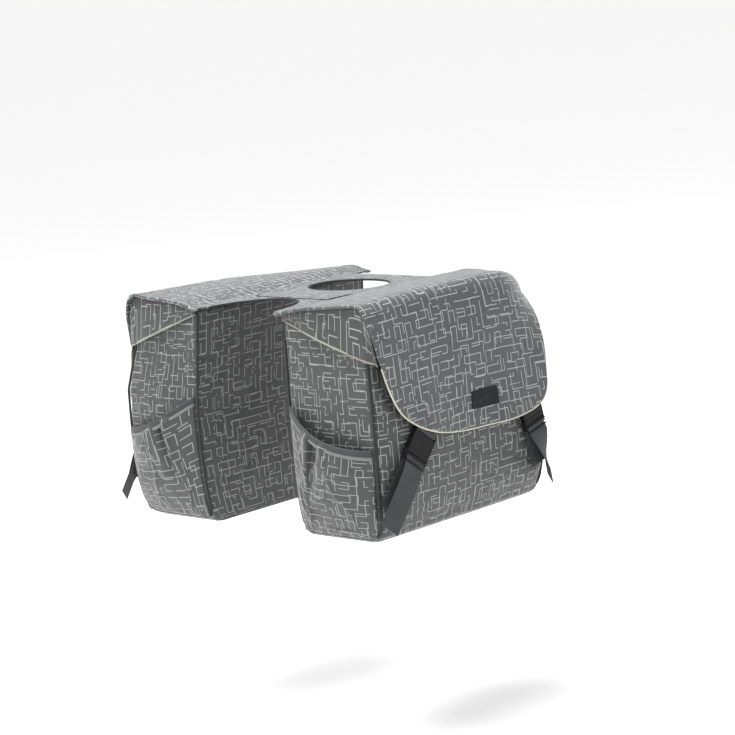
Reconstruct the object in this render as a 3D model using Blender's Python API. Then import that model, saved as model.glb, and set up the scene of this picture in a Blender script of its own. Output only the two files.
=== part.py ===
"""A double pannier: two stuffed cloth bags that hang either side of a narrow support from one cloth bridge.

Metres, +Z up. X runs across the pannier and Y forwards along it. The origin is the middle of the bridge's underside,
where the bridge lies on its support. The two bags are mirror images, right at +X and left at -X.
"""

import math

import bmesh
import bpy
import numpy as np
from mathutils import Matrix, Vector

for stale in list(bpy.data.objects):
    bpy.data.objects.remove(stale)

# Driving sizes of one bag
REAR, FRONT = -1, 1
RIGHT, LEFT = 1, -1

LENGTH = 0.360  # between the rear and front end panels
DEPTH = 0.167  # from the inner wall to the outer seams
HEIGHT = 0.326  # from the support's top to the bag's bottom
GAP = 0.176  # between the two bags' inner walls
BULGE = 0.010  # how far the stuffed outer face swells past its seams
END_BULGE = 0.006  # how far an end panel swells
SEAM = 0.006  # width of the turned seam at each upright corner
WALL = 0.002  # coated cloth with its foam backing
SEAT = 0.0006  # gap where one sewn piece lies on another
TOUCH = 0.0003  # gap where two pieces meet edge to edge

# The flap: a roof over the bag's mouth, and an apron down the outer face
CROWN = 0.017  # rise of the roof above the support
ROOF_SWELL = 0.004  # more rise in the middle of the bag's length
FLAP_THICK = 0.0024
FLAP_DROP = 0.190  # from the support's top to the apron's lowest edge
FLAP_OVERHANG = 0.0035  # of the roof past the end panels
CORNER_LIFT = 0.0140  # how far the apron stands off more over the buckles
LIFT_FROM = 0.45  # share of the half length where the apron is fully lifted
PIPING_RADIUS = 0.0011

# The ear: the hood that closes each end of the mouth
EAR_THICK = 0.0015
EAR_TIP = 0.006  # from the support's top to the ear's inner tip
EAR_DROP = 0.065  # from the support's top to the ear's outer corner
EAR_STAND = 0.004  # how far the hem stands off the end panel
EAR_TUCK = 0.0015  # how far the ear's outer edge runs in under the apron
HEM_RADIUS = 0.0010
EAR_SLACK = {REAR: 0.0, FRONT: 0.0060}  # more room round the rear and the front ear, where the slump closes it

# The pocket on each end panel
POCKET_THICK = 0.0015
POCKET_STAND = 0.018  # how far the mouth gapes
POCKET_INNER_DROP = 0.134  # from the support's top to the mouth at the inner side
POCKET_OUTER_DROP = 0.188  # and at the outer seam
POCKET_SAG = 0.012  # how far the mouth sags below a straight line
POCKET_MARGIN = 0.12  # outline steps from the panel's seams to the pocket's
POCKET_END = 0.972  # share of the height where the pocket's bottom edge is sewn
TAPE_WIDTH = 0.0125
TAPE_THICK = 0.0026
PLEAT_DEPTH = 0.0055
PLEAT_AT = 0.38  # share of the pocket's width, at the mouth
PLEAT_LEAN = 0.17  # how far the pleat wanders inwards as it runs down
PLEAT_REACH = 0.62  # share of the pocket's height over which it fades

# The bridge over the support
BRIDGE_THICK = 0.003
BRIDGE_REAR = 0.178
BRIDGE_FRONT = 0.150
NOTCH_DEPTH = 0.102  # of the half-oval cut into the rear edge
NOTCH_MARGIN = 0.006  # cloth left each side of the notch
HOLE_MIDDLE = 0.054  # of the oval hole, ahead of the origin
HOLE_HALF_LENGTH = 0.056
HOLE_HALF_WIDTH = 0.068
TONGUE_THICK = 0.002
TONGUE_MIDDLE = -0.049
TONGUE_HALF_WIDTH = 0.026
TONGUE_REACH = 0.062  # past the middle of the bridge, towards the left bag

# Straps and side-release buckles
STRAP_WIDTH = 0.038
STRAP_THICK = 0.0016
STRAP_LEAN = {REAR: math.radians(38), FRONT: math.radians(13)}  # the front strap has been pulled forwards
STRAP_SPLAY = math.radians(2)
BUCKLE_WIDTH = 0.044
BUCKLE_THICK = 0.009
PLUG_BASE = 0.016
PLUG_BAR = 0.005
PLUG_SLOT = 0.0045
SOCKET_LENGTH = 0.034
SOCKET_BAR = 0.004
SOCKET_SLOT = 0.0042
SOCKET_SHELL = 0.0017
PRONG_LENGTH = 0.021
PRONG_WIDTH = 0.0042
PRONG_BARB = 0.0022
BUCKLE_DROP = 0.213  # from the support's top to the buckle's lower bar
BUCKLE_AT = {REAR: 0.3445 * LENGTH, FRONT: 0.395 * LENGTH}  # from the bag's middle to that bar
BUCKLE_STAND = 0.0056  # from the swollen face to the middle of the bar
LIFT_DROP = 0.892 * BUCKLE_DROP  # from the support's top to where the apron is lifted by CORNER_LIFT
ANCHOR_DROP = 0.272  # from the support's top to the strap's sewn end
TAIL_DROP = 0.295  # from the support's top to the loose tail's end
TAIL_BOW = 0.004  # how far the loose tail bows away

LABEL_WIDTH = 0.056
LABEL_HEIGHT = 0.028
LABEL_THICK = 0.0012
LABEL_AT = 0.036
LABEL_DROP = 0.150

# How the cloth has settled: both bags have slumped at the top of their front outer corner, and the left bag,
# which is less full, leans outwards and tilts down towards the front
SLUMP_FROM = 0.55  # share of the half length where the slump inwards starts
SINK_FROM = {RIGHT: 0.55, LEFT: -0.30}  # and where each roof starts to sink
SLUMP_REACH = 0.115  # how far down it reaches
SLUMP_DOWN = 0.018
SLUMP_IN = 0.030
LEFT_TILT = 0.012
LEFT_SAG = 0.004  # how far the left roof sags in its middle

# Shifts of the left bag away from the middle, in shares of HEIGHT down and in metres at its inner and outer walls
LEFT_LEAN = [
    # drop, inner, outer
    (-0.050, 0.000, -0.024),
    (-0.015, 0.000, -0.023),
    (0.040, 0.001, -0.021),
    (0.200, 0.007, -0.017),
    (0.400, 0.015, 0.007),
    (0.500, 0.017, 0.007),
    (1.000, 0.014, 0.007),
]

# Sections of the bag's body from the mouth down, as shares of HEIGHT, DEPTH, BULGE and LENGTH
BODY_SECTIONS = [
    # drop, depth, bulge, length
    (0.030, 0.935, 0.05, 0.990),
    (0.200, 0.985, 0.35, 1.000),
    (0.380, 1.000, 0.80, 1.004),
    (0.560, 1.005, 1.00, 1.008),
    (0.750, 1.000, 0.95, 1.004),
    (0.860, 0.980, 0.75, 0.990),
    (0.935, 0.945, 0.50, 0.965),
    (0.985, 0.880, 0.25, 0.930),
    (1.000, 0.800, 0.05, 0.890),
]

# Stations of the flap's roof, as shares of DEPTH from the inner wall and of CROWN
ROOF_STATIONS = [
    # across, rise
    (-0.050, 0.10),
    (0.010, 0.12),
    (0.100, 0.30),
    (0.220, 0.50),
    (0.400, 0.66),
    (0.600, 0.80),
    (0.780, 0.92),
    (0.890, 1.00),
    (0.960, 0.88),
    (1.010, 0.35),
]

# Stations of the apron below it, as shares of FLAP_DROP and of DEPTH
APRON_STATIONS = [
    # drop, across
    (0.000, 1.020),
    (0.040, 1.040),
    (0.100, 1.060),
    (0.340, 1.074),
    (1.000, 1.076),
]

# The apron's free edge from its rear side round to its front side, as shares of LENGTH / 2 and of FLAP_DROP
APRON_EDGE = [
    # along, drop
    (-0.940, 0.375),
    (-0.895, 0.530),
    (-0.825, 0.685),
    (-0.745, 0.775),
    (-0.590, 0.870),
    (-0.430, 0.930),
    (-0.220, 0.975),
    (0.030, 1.000),
    (0.240, 1.000),
    (0.440, 0.995),
    (0.640, 0.980),
    (0.790, 0.950),
    (0.890, 0.895),
    (0.940, 0.820),
    (0.955, 0.740),
]

POCKET_ROWS = (0, 0.3, 0.65)
POCKET_LEVELS = (0.750, 0.860, 0.935)
APRON_ROWS = (0.04, 0.20, 0.40, 0.60, 0.80, 0.92, 1.0)
EAR_ROWS = 4
END_STEPS = 8
FACE_AT = (-1, -0.975, -0.92, -0.8, -0.5, 0, 0.5, 0.8, 0.92, 0.975, 1)
BACK_STEPS = 2


def material(name, colour, roughness, metallic=0.0):
    made = bpy.data.materials.new(name)
    made.use_nodes = True
    shader = made.node_tree.nodes["Principled BSDF"]
    shader.inputs["Base Color"].default_value = (*colour, 1.0)
    shader.inputs["Roughness"].default_value = roughness
    shader.inputs["Metallic"].default_value = metallic
    made.diffuse_color = (*colour, 1.0)
    return made


PRINTED_CLOTH = material("printed_cloth", (0.15, 0.155, 0.16), 0.55)
TAPE_CLOTH = material("tape_cloth", (0.075, 0.08, 0.082), 0.7)
PIPING_CLOTH = material("piping_cloth", (0.55, 0.52, 0.44), 0.6)
WEBBING = material("webbing", (0.065, 0.07, 0.072), 0.75)
BUCKLE_PLASTIC = material("buckle_plastic", (0.02, 0.02, 0.021), 0.45)
LABEL_RUBBER = material("label_rubber", (0.03, 0.032, 0.034), 0.6)

BAGS = {}
for side, word in ((RIGHT, "right"), (LEFT, "left")):
    BAGS[side] = bpy.data.objects.new("bag_" + word, None)
    bpy.context.scene.collection.objects.link(BAGS[side])


def add_object(name, mesh, surface, parent=None, matrix=None):
    """Links one named object, with its own material, under its bag's empty."""
    made = bpy.data.objects.new(name, mesh)
    if not mesh.materials:
        mesh.materials.append(surface)
    bpy.context.scene.collection.objects.link(made)
    made.parent = parent
    if matrix is not None:
        made.matrix_world = matrix
    return made


def mesh_from(name, points, faces):
    """A closed mesh with its faces pointing out."""
    mesh = bpy.data.meshes.new(name)
    mesh.from_pydata([tuple(p) for p in points], [], faces)
    shape = bmesh.new()
    shape.from_mesh(mesh)
    bmesh.ops.recalc_face_normals(shape, faces=shape.faces)
    shape.to_mesh(mesh)
    shape.free()
    mesh.shade_smooth()
    mesh.set_sharp_from_angle(angle=math.radians(35))
    return mesh


def grid_normals(grid):
    """The unit normal at each point of a grid of points, from its neighbours along both ways."""
    along = np.gradient(grid, axis=0)
    across = np.gradient(grid, axis=1)
    normal = np.cross(along, across)
    return normal / np.linalg.norm(normal, axis=2, keepdims=True)


def cloth_mesh(name, grid, thickness):
    """A sheet of cloth: the grid is its middle surface, and the wall stands half the thickness to each side."""
    rows, columns = grid.shape[:2]
    lift = grid_normals(grid) * thickness / 2
    points = np.concatenate([(grid + lift).reshape(-1, 3), (grid - lift).reshape(-1, 3)])
    under = rows * columns
    faces = []
    for i in range(rows - 1):
        for j in range(columns - 1):
            a, b = i * columns + j, i * columns + j + 1
            c, d = b + columns, a + columns
            faces.append((a, b, c, d))
            faces.append((d + under, c + under, b + under, a + under))
    top = list(range(columns))
    right = [i * columns + columns - 1 for i in range(1, rows)]
    bottom = [(rows - 1) * columns + j for j in range(columns - 2, -1, -1)]
    left = [i * columns for i in range(rows - 2, 0, -1)]
    rim = top + right + bottom + left
    for a, b in zip(rim, rim[1:] + rim[:1]):
        faces.append((b, a, a + under, b + under))
    return mesh_from(name, points, faces)


def placed(points, side):
    """Points of the right bag as sewn, moved to that side and to where its cloth has settled."""
    x, y, z = np.moveaxis(np.array(points, dtype=float), -1, 0)
    across = np.maximum(0, (x - GAP / 2) / DEPTH)
    along = y / (LENGTH / 2)
    high = np.clip(1 + z / SLUMP_REACH, 0, 1)
    front, sunk = [np.maximum(0, (along - start) / (1 - start)) ** 2 for start in (SLUMP_FROM, SINK_FROM[side])]
    drop = -z / HEIGHT
    x = x - SLUMP_IN * across * front * high**2
    z = z - SLUMP_DOWN * across**2 * sunk * high
    if side == LEFT:
        rows, inner, outer = np.array(LEFT_LEAN).T
        x = x + np.interp(drop, rows, inner) * (1 - across) + np.interp(drop, rows, outer) * across
        z = z - (LEFT_TILT * (along + 1) / 2 * across + LEFT_SAG * (1 - along**2)) * across * high
    return np.stack([side * x, y, z], axis=-1)


# The body's surface


def section(z):
    """(depth, bulge, length) shares at a height, straight between the rows of the table."""
    table = np.array(BODY_SECTIONS)
    drop = np.clip(-z / HEIGHT, table[0, 0], table[-1, 0])
    return [float(np.interp(drop, table[:, 0], table[:, k])) for k in (1, 2, 3)]


def swell(s):
    """Height of a stuffed panel's swell at a share of its half width: steep by its seams and flat in its middle."""
    return np.sqrt(1 - np.clip(np.abs(s), 0, 1) ** 8)


def outline(z, out):
    """The right bag's plan at a height, out metres outside its wall.

    It runs along the rear end panel from the inner side, along the outer face, back along the front end panel
    and along the inner wall. A seam's turned edge cuts each corner.
    """
    depth, bulge, length = section(z)
    inner = GAP / 2 - out
    outer = GAP / 2 + DEPTH * depth + out
    half = LENGTH / 2 * length + out
    share = np.linspace(0, 1, END_STEPS + 1)
    end_x = inner + SEAM + (outer - inner - 2 * SEAM) * share
    end_y = half + END_BULGE * bulge * (1 - (2 * share - 1) ** 2)
    s = np.array(FACE_AT)
    face_y = (half - SEAM) * s
    face_x = outer + BULGE * bulge * swell(s)
    back_y = (half - SEAM) * np.linspace(1, -1, BACK_STEPS + 1)
    return np.concatenate([
        np.column_stack([end_x, -end_y]),
        np.column_stack([face_x, face_y]),
        np.column_stack([end_x[::-1], end_y[::-1]]),
        np.column_stack([np.full(len(back_y), inner), back_y]),
    ])


def skin(step, z, out):
    """The point at a step, whole or not, along the outline at a height, out metres outside the body's wall."""
    plan = outline(z, out)
    low = int(math.floor(step))
    part = step - low
    x, y = plan[low] * (1 - part) + plan[min(low + 1, len(plan) - 1)] * part
    return np.array([x, y, z])


def face_x(y, z):
    """How far out the swollen outer face stands at a place."""
    depth, bulge, length = section(z)
    return GAP / 2 + DEPTH * depth + BULGE * bulge * float(swell(y / (LENGTH / 2 * length - SEAM)))


def end_y(x, z, out):
    """How far along the swollen end panel stands at a place, out metres outside it."""
    depth, bulge, length = section(z)
    share = np.clip((x - GAP / 2 - SEAM) / (DEPTH * depth - 2 * SEAM), 0, 1)
    return LENGTH / 2 * length + END_BULGE * bulge * (1 - (2 * share - 1) ** 2) + out


def roof_z(x):
    """Height of the roof's middle surface over a place, at the bag's ends."""
    table = np.array(ROOF_STATIONS)
    return float(np.interp((x - GAP / 2) / DEPTH, table[:, 0], table[:, 1])) * CROWN


def body(side, name):
    """A stuffed open-topped bag: one wall lofted through the table's sections, out and back in again."""
    loops = []
    rims = []
    for out, height in ((0.0, HEIGHT), (-WALL, HEIGHT - WALL)):
        plan = outline(-HEIGHT * BODY_SECTIONS[0][0], out)
        top = [roof_z(x) - FLAP_THICK - 2 * SEAT for x, _ in plan]
        rows = [np.column_stack([plan, top])]
        for drop, *_ in BODY_SECTIONS:
            plan = outline(-HEIGHT * drop, out)
            rows.append(np.column_stack([plan, np.full(len(plan), -height * drop)]))
        rims.append(len(loops))
        loops += rows
    count = len(loops[0])
    points = np.concatenate(loops)
    faces = []

    def band(a, b):
        for j in range(count):
            k = (j + 1) % count
            faces.append((a * count + j, a * count + k, b * count + k, b * count + j))

    for first in rims:
        for i in range(len(BODY_SECTIONS)):
            band(first + i, first + i + 1)
        last = (first + len(BODY_SECTIONS)) * count
        faces.append(tuple(range(last, last + count)))
    band(rims[1], rims[0])
    return add_object(name, mesh_from(name, placed(points, side), faces), PRINTED_CLOTH, BAGS[side])


# The flap


def apron_x(y, z):
    """The apron's middle surface: nearly a flat board, which stands off more over the buckles."""
    drop = -z / FLAP_DROP
    rows, across = np.array(APRON_STATIONS).T
    lift = CORNER_LIFT * (z / LIFT_DROP) ** 2 * min(1.0, abs(y) / (LENGTH / 2) / LIFT_FROM) ** 2
    return GAP / 2 + DEPTH * float(np.interp(drop, rows, across)) + lift


def flap_grid():
    """Rows run from the bridge over the roof, then down the apron, each a share of the way to its free edge."""
    edge = np.array(APRON_EDGE) * (LENGTH / 2, -FLAP_DROP)
    columns = np.linspace(-1, 1, len(edge))
    half = LENGTH / 2 + FLAP_OVERHANG
    rows = []
    for across, rise in ROOF_STATIONS:
        swell = ROOF_SWELL * min(1.0, max(0.0, across) / 0.5) * (1 - columns**2)
        rows.append(np.column_stack([
            np.full(len(columns), GAP / 2 + DEPTH * across), half * columns, CROWN * rise + swell]))
    for share in APRON_ROWS:
        y = half * columns * (1 - share) + edge[:, 0] * share
        z = edge[:, 1] * share
        rows.append(np.column_stack([[apron_x(*place) for place in zip(y, z)], y, z]))
    return np.array(rows)


def flap(side, name):
    grid = placed(flap_grid(), side)
    return add_object(name, cloth_mesh(name, grid, FLAP_THICK), PRINTED_CLOTH, BAGS[side])


def tube(name, points, radius, surface, parent, resolution=1):
    """A round cord sewn along an edge: a curve with a bevel and filled caps."""
    curve = bpy.data.curves.new(name, "CURVE")
    curve.dimensions = "3D"
    curve.bevel_depth = radius
    curve.bevel_resolution = resolution
    curve.use_fill_caps = True
    curve.materials.append(surface)
    spline = curve.splines.new("POLY")
    spline.points.add(len(points) - 1)
    for place, (x, y, z) in zip(spline.points, points):
        place.co = (x, y, z, 1.0)
    made = bpy.data.objects.new(name, curve)
    bpy.context.scene.collection.objects.link(made)
    made.parent = parent
    return made


def flap_piping(side, name):
    """Piping round the apron's free edge, from the rear ear to the front one."""
    grid = flap_grid()
    below_ear = len(ROOF_STATIONS) + 3
    edge = np.array(list(grid[-1]) + [grid[-2, -1], grid[-3, -1], grid[below_ear, -1]])
    run = np.gradient(edge, axis=0)
    outward = np.column_stack([np.zeros(len(edge)), run[:, 2], -run[:, 1]])
    outward /= np.linalg.norm(outward, axis=1)[:, None]
    path = edge + outward * (PIPING_RADIUS + SEAT)
    return tube(name, placed(path, side), PIPING_RADIUS, PIPING_CLOTH, BAGS[side])


# The ears


def ear_grid(end):
    """Columns hang from the flap's end, over the roof and down past the shoulder, to a straight sloping hem.

    The grid is written for the rear. The flap's front end is turned round to it first.
    """
    edge = flap_grid()[:, 0 if end == REAR else -1] * (1, -end, 1)
    first, last = 1, int(np.argmax(edge[:, 2] < -EAR_DROP))
    edge = edge[:last + 1]
    run = np.gradient(edge, axis=0)
    inward = np.column_stack([run[:, 2], -run[:, 0]])
    inward /= np.linalg.norm(inward, axis=1)[:, None]
    grid = np.zeros((EAR_ROWS, last - first, 3))
    for j, k in enumerate(range(first, last)):
        share = j / (last - first - 1)
        inset = FLAP_THICK / 2 + 2 * SEAT + EAR_SLACK[end] + (HEM_RADIUS + SEAT) * share
        x, top = edge[k, [0, 2]] + inward[k] * inset
        across = (x - GAP / 2) / DEPTH
        hem = -EAR_TIP - (EAR_DROP - EAR_TIP) * across / APRON_STATIONS[-1][1]
        for i, down in enumerate(np.linspace(0, 1, EAR_ROWS)):
            z = top + (hem - top) * down
            seam = GAP / 2 + DEPTH * section(z)[0] + SEAM / 3
            round_corner = np.clip((x - seam) / (edge[last, 0] - seam), 0, 1)
            on_panel = end_y(x, z, SEAT + EAR_THICK / 2) + EAR_STAND * down * math.sin(math.pi * min(1.0, across))
            in_apron = float(np.interp(-z, -edge[:, 2], -edge[:, 1])) - EAR_TUCK
            grid[i, j] = (x, -on_panel + (on_panel - in_apron) * round_corner, z)
    return grid


def ends(grid, end):
    """The grid at the rear, or turned round to the front."""
    return grid * np.array([1.0, -end, 1.0])


def ear(side, end, name):
    grid = placed(ends(ear_grid(end), end), side)
    return add_object(name, cloth_mesh(name, grid, EAR_THICK), PRINTED_CLOTH, BAGS[side])


def ear_hem(side, end, name):
    """Piping along the ear's hem."""
    hem = ear_grid(end)[-1]
    hem[:, 2] -= HEM_RADIUS + SEAT + EAR_SLACK[end] / 2
    path = placed(ends(hem, end), side)
    return tube(name, path, HEM_RADIUS, PIPING_CLOTH, BAGS[side])


# The pockets


def mouth_z(share):
    """Height of the pocket's mouth across its width: it slopes down and sags."""
    straight = POCKET_INNER_DROP + (POCKET_OUTER_DROP - POCKET_INNER_DROP) * share
    return -straight - POCKET_SAG * math.sin(math.pi * share)


def pocket_stand(share, down):
    """How far the pocket stands off the panel: most at the middle of its mouth, nothing at its seams."""
    pull = math.sin(math.pi * np.clip(share, 0, 1)) ** 0.7
    return POCKET_STAND * pull * math.cos(math.pi / 2 * np.clip(down, 0, 1) ** 1.3)


def pocket_point(share, z, down, extra=0.0):
    """A place on the pocket's middle surface, by its share across, its height and its share down from the mouth."""
    point = skin(POCKET_MARGIN + (END_STEPS - 2 * POCKET_MARGIN) * share, z, SEAT + POCKET_THICK / 2)
    point[1] -= pocket_stand(share, down) + extra
    return point


def pocket_grid():
    """The panel below the mouth's tape, with one knife pleat that leans inwards and fades out."""
    base = np.array([0, 0.09, 0.19, 0.28, 0.34, 0.37, 0.40, 0.47, 0.58, 0.70, 0.82, 0.92, 1.0])
    fold = np.array([0, 0, 0, 0.25, 0.7, 0.3, -1.0, -0.35, 0, 0, 0, 0, 0])
    lean = np.interp(base, [0, PLEAT_AT, 1], [0, 1, 0])
    grid = np.zeros((len(POCKET_ROWS) + 1 + len(POCKET_LEVELS), len(base), 3))
    bottom = -HEIGHT * POCKET_END
    for j, share in enumerate(base):
        top = mouth_z(share)
        first = top - TAPE_WIDTH - TOUCH
        free = [first + (-HEIGHT * POCKET_LEVELS[0] - first) * row for row in POCKET_ROWS]
        for i, z in enumerate(free + [-HEIGHT * level for level in POCKET_LEVELS] + [bottom]):
            down = (top - z) / (top - bottom)
            fade = max(0.0, 1 - down / PLEAT_REACH)
            place = share - PLEAT_LEAN * lean[j] * min(1.0, down / PLEAT_REACH)
            grid[i, j] = pocket_point(place, z, down, PLEAT_DEPTH * fold[j] * fade)
    return grid


def pocket(side, end, name):
    grid = placed(ends(pocket_grid(), end), side)
    return add_object(name, cloth_mesh(name, grid, POCKET_THICK), PRINTED_CLOTH, BAGS[side])


def pocket_tape(side, end, name):
    """The binding along the pocket's mouth, a flat tape that stands proud of the panel it edges."""
    shares = np.linspace(0, 1, 13)
    grid = np.zeros((2, len(shares), 3))
    for j, share in enumerate(shares):
        top = mouth_z(share)
        for i, z in enumerate((top, top - TAPE_WIDTH)):
            down = (top - z) / (top + HEIGHT * POCKET_END)
            grid[i, j] = pocket_point(share, z, down, (TAPE_THICK - POCKET_THICK) / 2)
    grid = placed(ends(grid, end), side)
    return add_object(name, cloth_mesh(name, grid, TAPE_THICK), TAPE_CLOTH, BAGS[side])


# The bridge


def oval(middle, half_x, half_y, turns):
    """Points round part of an oval, at the given turns in degrees."""
    return [(half_x * math.cos(math.radians(t)), middle + half_y * math.sin(math.radians(t))) for t in turns]


def flat_sheet(name, loops, low, thickness, surface, parent=None):
    """A flat sheet cut to closed outlines, the first outside and any other a hole: a filled, extruded 2D curve."""
    curve = bpy.data.curves.new(name, "CURVE")
    curve.dimensions = "2D"
    curve.fill_mode = "BOTH"
    curve.extrude = thickness / 2
    curve.materials.append(surface)
    for loop in loops:
        spline = curve.splines.new("POLY")
        spline.points.add(len(loop) - 1)
        spline.use_cyclic_u = True
        for place, (x, y) in zip(spline.points, loop):
            place.co = (x, y, 0.0, 1.0)
    made = bpy.data.objects.new(name, curve)
    made.location.z = low + thickness / 2
    bpy.context.scene.collection.objects.link(made)
    made.parent = parent
    return made


def roof_start():
    """Where the flap's roof begins, beside the bridge."""
    return GAP / 2 + DEPTH * ROOF_STATIONS[0][0]


def bridge(name):
    """The sheet over the support, with a half-oval notch at the rear and an oval hole ahead of the middle."""
    half = roof_start() - TOUCH
    notch = oval(-BRIDGE_REAR, half - NOTCH_MARGIN, NOTCH_DEPTH, np.linspace(180, 0, 17))
    outer = notch + [(half, -BRIDGE_REAR), (half, BRIDGE_FRONT), (-half, BRIDGE_FRONT), (-half, -BRIDGE_REAR)]
    hole = oval(HOLE_MIDDLE, HOLE_HALF_WIDTH, HOLE_HALF_LENGTH, np.linspace(0, 360, 29)[:-1])
    return flat_sheet(name, [outer, hole], 0.0, BRIDGE_THICK, PRINTED_CLOTH)


def bridge_tongue(name):
    """The right bag's tongue, which lies on the bridge's middle band and ends in a round tip."""
    start = roof_start() - TOUCH
    low, high = TONGUE_MIDDLE - TONGUE_HALF_WIDTH, TONGUE_MIDDLE + TONGUE_HALF_WIDTH
    tip = [(-TONGUE_REACH + TONGUE_HALF_WIDTH * 0.6 * (1 + math.cos(t)) - TONGUE_HALF_WIDTH * 0.6,
            TONGUE_MIDDLE + TONGUE_HALF_WIDTH * math.sin(t)) for t in np.linspace(math.pi / 2, 3 * math.pi / 2, 9)]
    outline_points = [(start, low), (start, high)] + tip
    return flat_sheet(name, [outline_points], BRIDGE_THICK + TOUCH, TONGUE_THICK, PRINTED_CLOTH)


# Straps and buckles. A buckle's own frame: x across the strap, y up along it, z away from the bag,
# with the origin on the plug's lower bar.


def box(shape, low, high):
    """Adds a box to a bmesh, from its lowest corner to its highest."""
    size = Vector(high) - Vector(low)
    middle = (Vector(high) + Vector(low)) / 2
    matrix = Matrix.Translation(middle) @ Matrix.Diagonal((*size, 1.0))
    bmesh.ops.create_cube(shape, size=1.0, matrix=matrix)


def carved(name, solids, cuts, surface, bevel=0.0):
    """Joins some boxes and cuts others away with exact Booleans, and returns the finished mesh."""
    def block(part_name, low, high):
        shape = bmesh.new()
        box(shape, low, high)
        mesh = bpy.data.meshes.new(part_name)
        shape.to_mesh(mesh)
        shape.free()
        made = bpy.data.objects.new(part_name, mesh)
        bpy.context.scene.collection.objects.link(made)
        return made

    base = block(name + "_blank", *solids[0])
    if bevel:
        round_off = base.modifiers.new("bevel", "BEVEL")
        round_off.width = bevel
        round_off.segments = 1
    helpers = []
    for operation, boxes in (("UNION", solids[1:]), ("DIFFERENCE", cuts)):
        for k, (low, high) in enumerate(boxes):
            helper = block(f"{name}_{operation}_{k}", low, high)
            helpers.append(helper)
            change = base.modifiers.new(operation, "BOOLEAN")
            change.operation = operation
            change.object = helper
    bpy.context.view_layer.update()
    graph = bpy.context.evaluated_depsgraph_get()
    mesh = bpy.data.meshes.new_from_object(base.evaluated_get(graph))
    mesh.name = name
    mesh.materials.clear()
    mesh.materials.append(surface)
    for used in [base, *helpers]:
        bpy.data.objects.remove(used)
    mesh.shade_flat()
    return mesh


def plug_mesh():
    """The plug: a slotted base for the webbing, two sprung prongs with barbs, and a guide between them."""
    half, deep = BUCKLE_WIDTH / 2, BUCKLE_THICK / 2
    prong_top = PLUG_BASE + PRONG_LENGTH
    prong_in = half - SOCKET_SHELL - TOUCH - PRONG_BARB
    prong_deep = deep - SOCKET_SHELL - TOUCH
    slot_half = STRAP_WIDTH / 2 + 2 * TOUCH
    bar_deep = deep * 0.4
    solids = [((-half, 0, -deep), (half, PLUG_BASE, deep))]
    for hand in (-1, 1):
        reach = sorted((hand * (prong_in - PRONG_WIDTH), hand * prong_in))
        barb = sorted((hand * (prong_in - PRONG_WIDTH), hand * (half - TOUCH)))
        solids.append(((reach[0], PLUG_BASE - 0.002, -prong_deep), (reach[1], prong_top, prong_deep)))
        solids.append(((barb[0], prong_top - 0.0085, -prong_deep), (barb[1], prong_top - 0.004, prong_deep)))
    guide = PRONG_WIDTH * 0.6
    solids.append(((-guide, PLUG_BASE - 0.002, -prong_deep * 0.6), (guide, prong_top - 0.003, prong_deep * 0.6)))
    cuts = [((-slot_half, PLUG_BAR, -0.02), (slot_half, PLUG_BAR + PLUG_SLOT, 0.02))]
    cuts.append(((-slot_half, -0.01, bar_deep), (slot_half, PLUG_BAR + 0.001, 0.02)))
    cuts.append(((-slot_half, -0.01, -0.02), (slot_half, PLUG_BAR + 0.001, -bar_deep)))
    return carved("buckle_plug", solids, cuts, BUCKLE_PLASTIC)


def socket_mesh():
    """The socket: a hollow shell open towards the plug, windowed for the barbs, with a bar for the upper strap."""
    half, deep = BUCKLE_WIDTH / 2, BUCKLE_THICK / 2
    low = PLUG_BASE + TOUCH
    high = low + SOCKET_LENGTH
    inner = half - SOCKET_SHELL
    hollow_top = PLUG_BASE + PRONG_LENGTH + TOUCH
    slot_low = high - SOCKET_BAR - SOCKET_SLOT
    slot_half = STRAP_WIDTH / 2 + 2 * TOUCH
    bar_deep = deep * 0.4
    window = (PLUG_BASE + PRONG_LENGTH - 0.0085 - TOUCH, PLUG_BASE + PRONG_LENGTH - 0.004 + TOUCH)
    solids = [((-half, low, -deep), (half, high, deep))]
    cuts = [
        ((-inner, low - 0.01, -deep + SOCKET_SHELL), (inner, hollow_top, deep - SOCKET_SHELL)),
        ((-0.05, window[0], -deep + SOCKET_SHELL), (0.05, window[1], deep - SOCKET_SHELL)),
        ((-slot_half, slot_low, -0.02), (slot_half, high - SOCKET_BAR, 0.02)),
        ((-slot_half, high - SOCKET_BAR - 0.001, bar_deep), (slot_half, high + 0.01, 0.02)),
        ((-slot_half, high - SOCKET_BAR - 0.001, -0.02), (slot_half, high + 0.01, -bar_deep)),
    ]
    return carved("buckle_socket", solids, cuts, BUCKLE_PLASTIC)


def buckle_matrix(side, end):
    """Places a buckle's frame on a bag: it leans towards the bag's middle and turns with the swollen face."""
    y = BUCKLE_AT[end] * end
    z = -BUCKLE_DROP
    out = Vector((math.cos(STRAP_SPLAY), end * math.sin(STRAP_SPLAY), 0.0))
    up = Vector((0, 0, 1)) * math.cos(STRAP_LEAN[end])
    up += Vector((out.y, -out.x, 0.0)) * (end * math.sin(STRAP_LEAN[end]))
    across = up.cross(out)
    origin = Vector((face_x(y, z) + BUCKLE_STAND, y, z))
    columns = [across, up, out, origin]
    for vector in columns:
        vector.x *= side
    if side == LEFT:
        across.negate()
    origin.xyz = placed((abs(origin.x), origin.y, origin.z), side)
    matrix = Matrix.Identity(4)
    for k, vector in enumerate(columns):
        for row in range(3):
            matrix[row][k] = vector[row]
    return matrix


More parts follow.
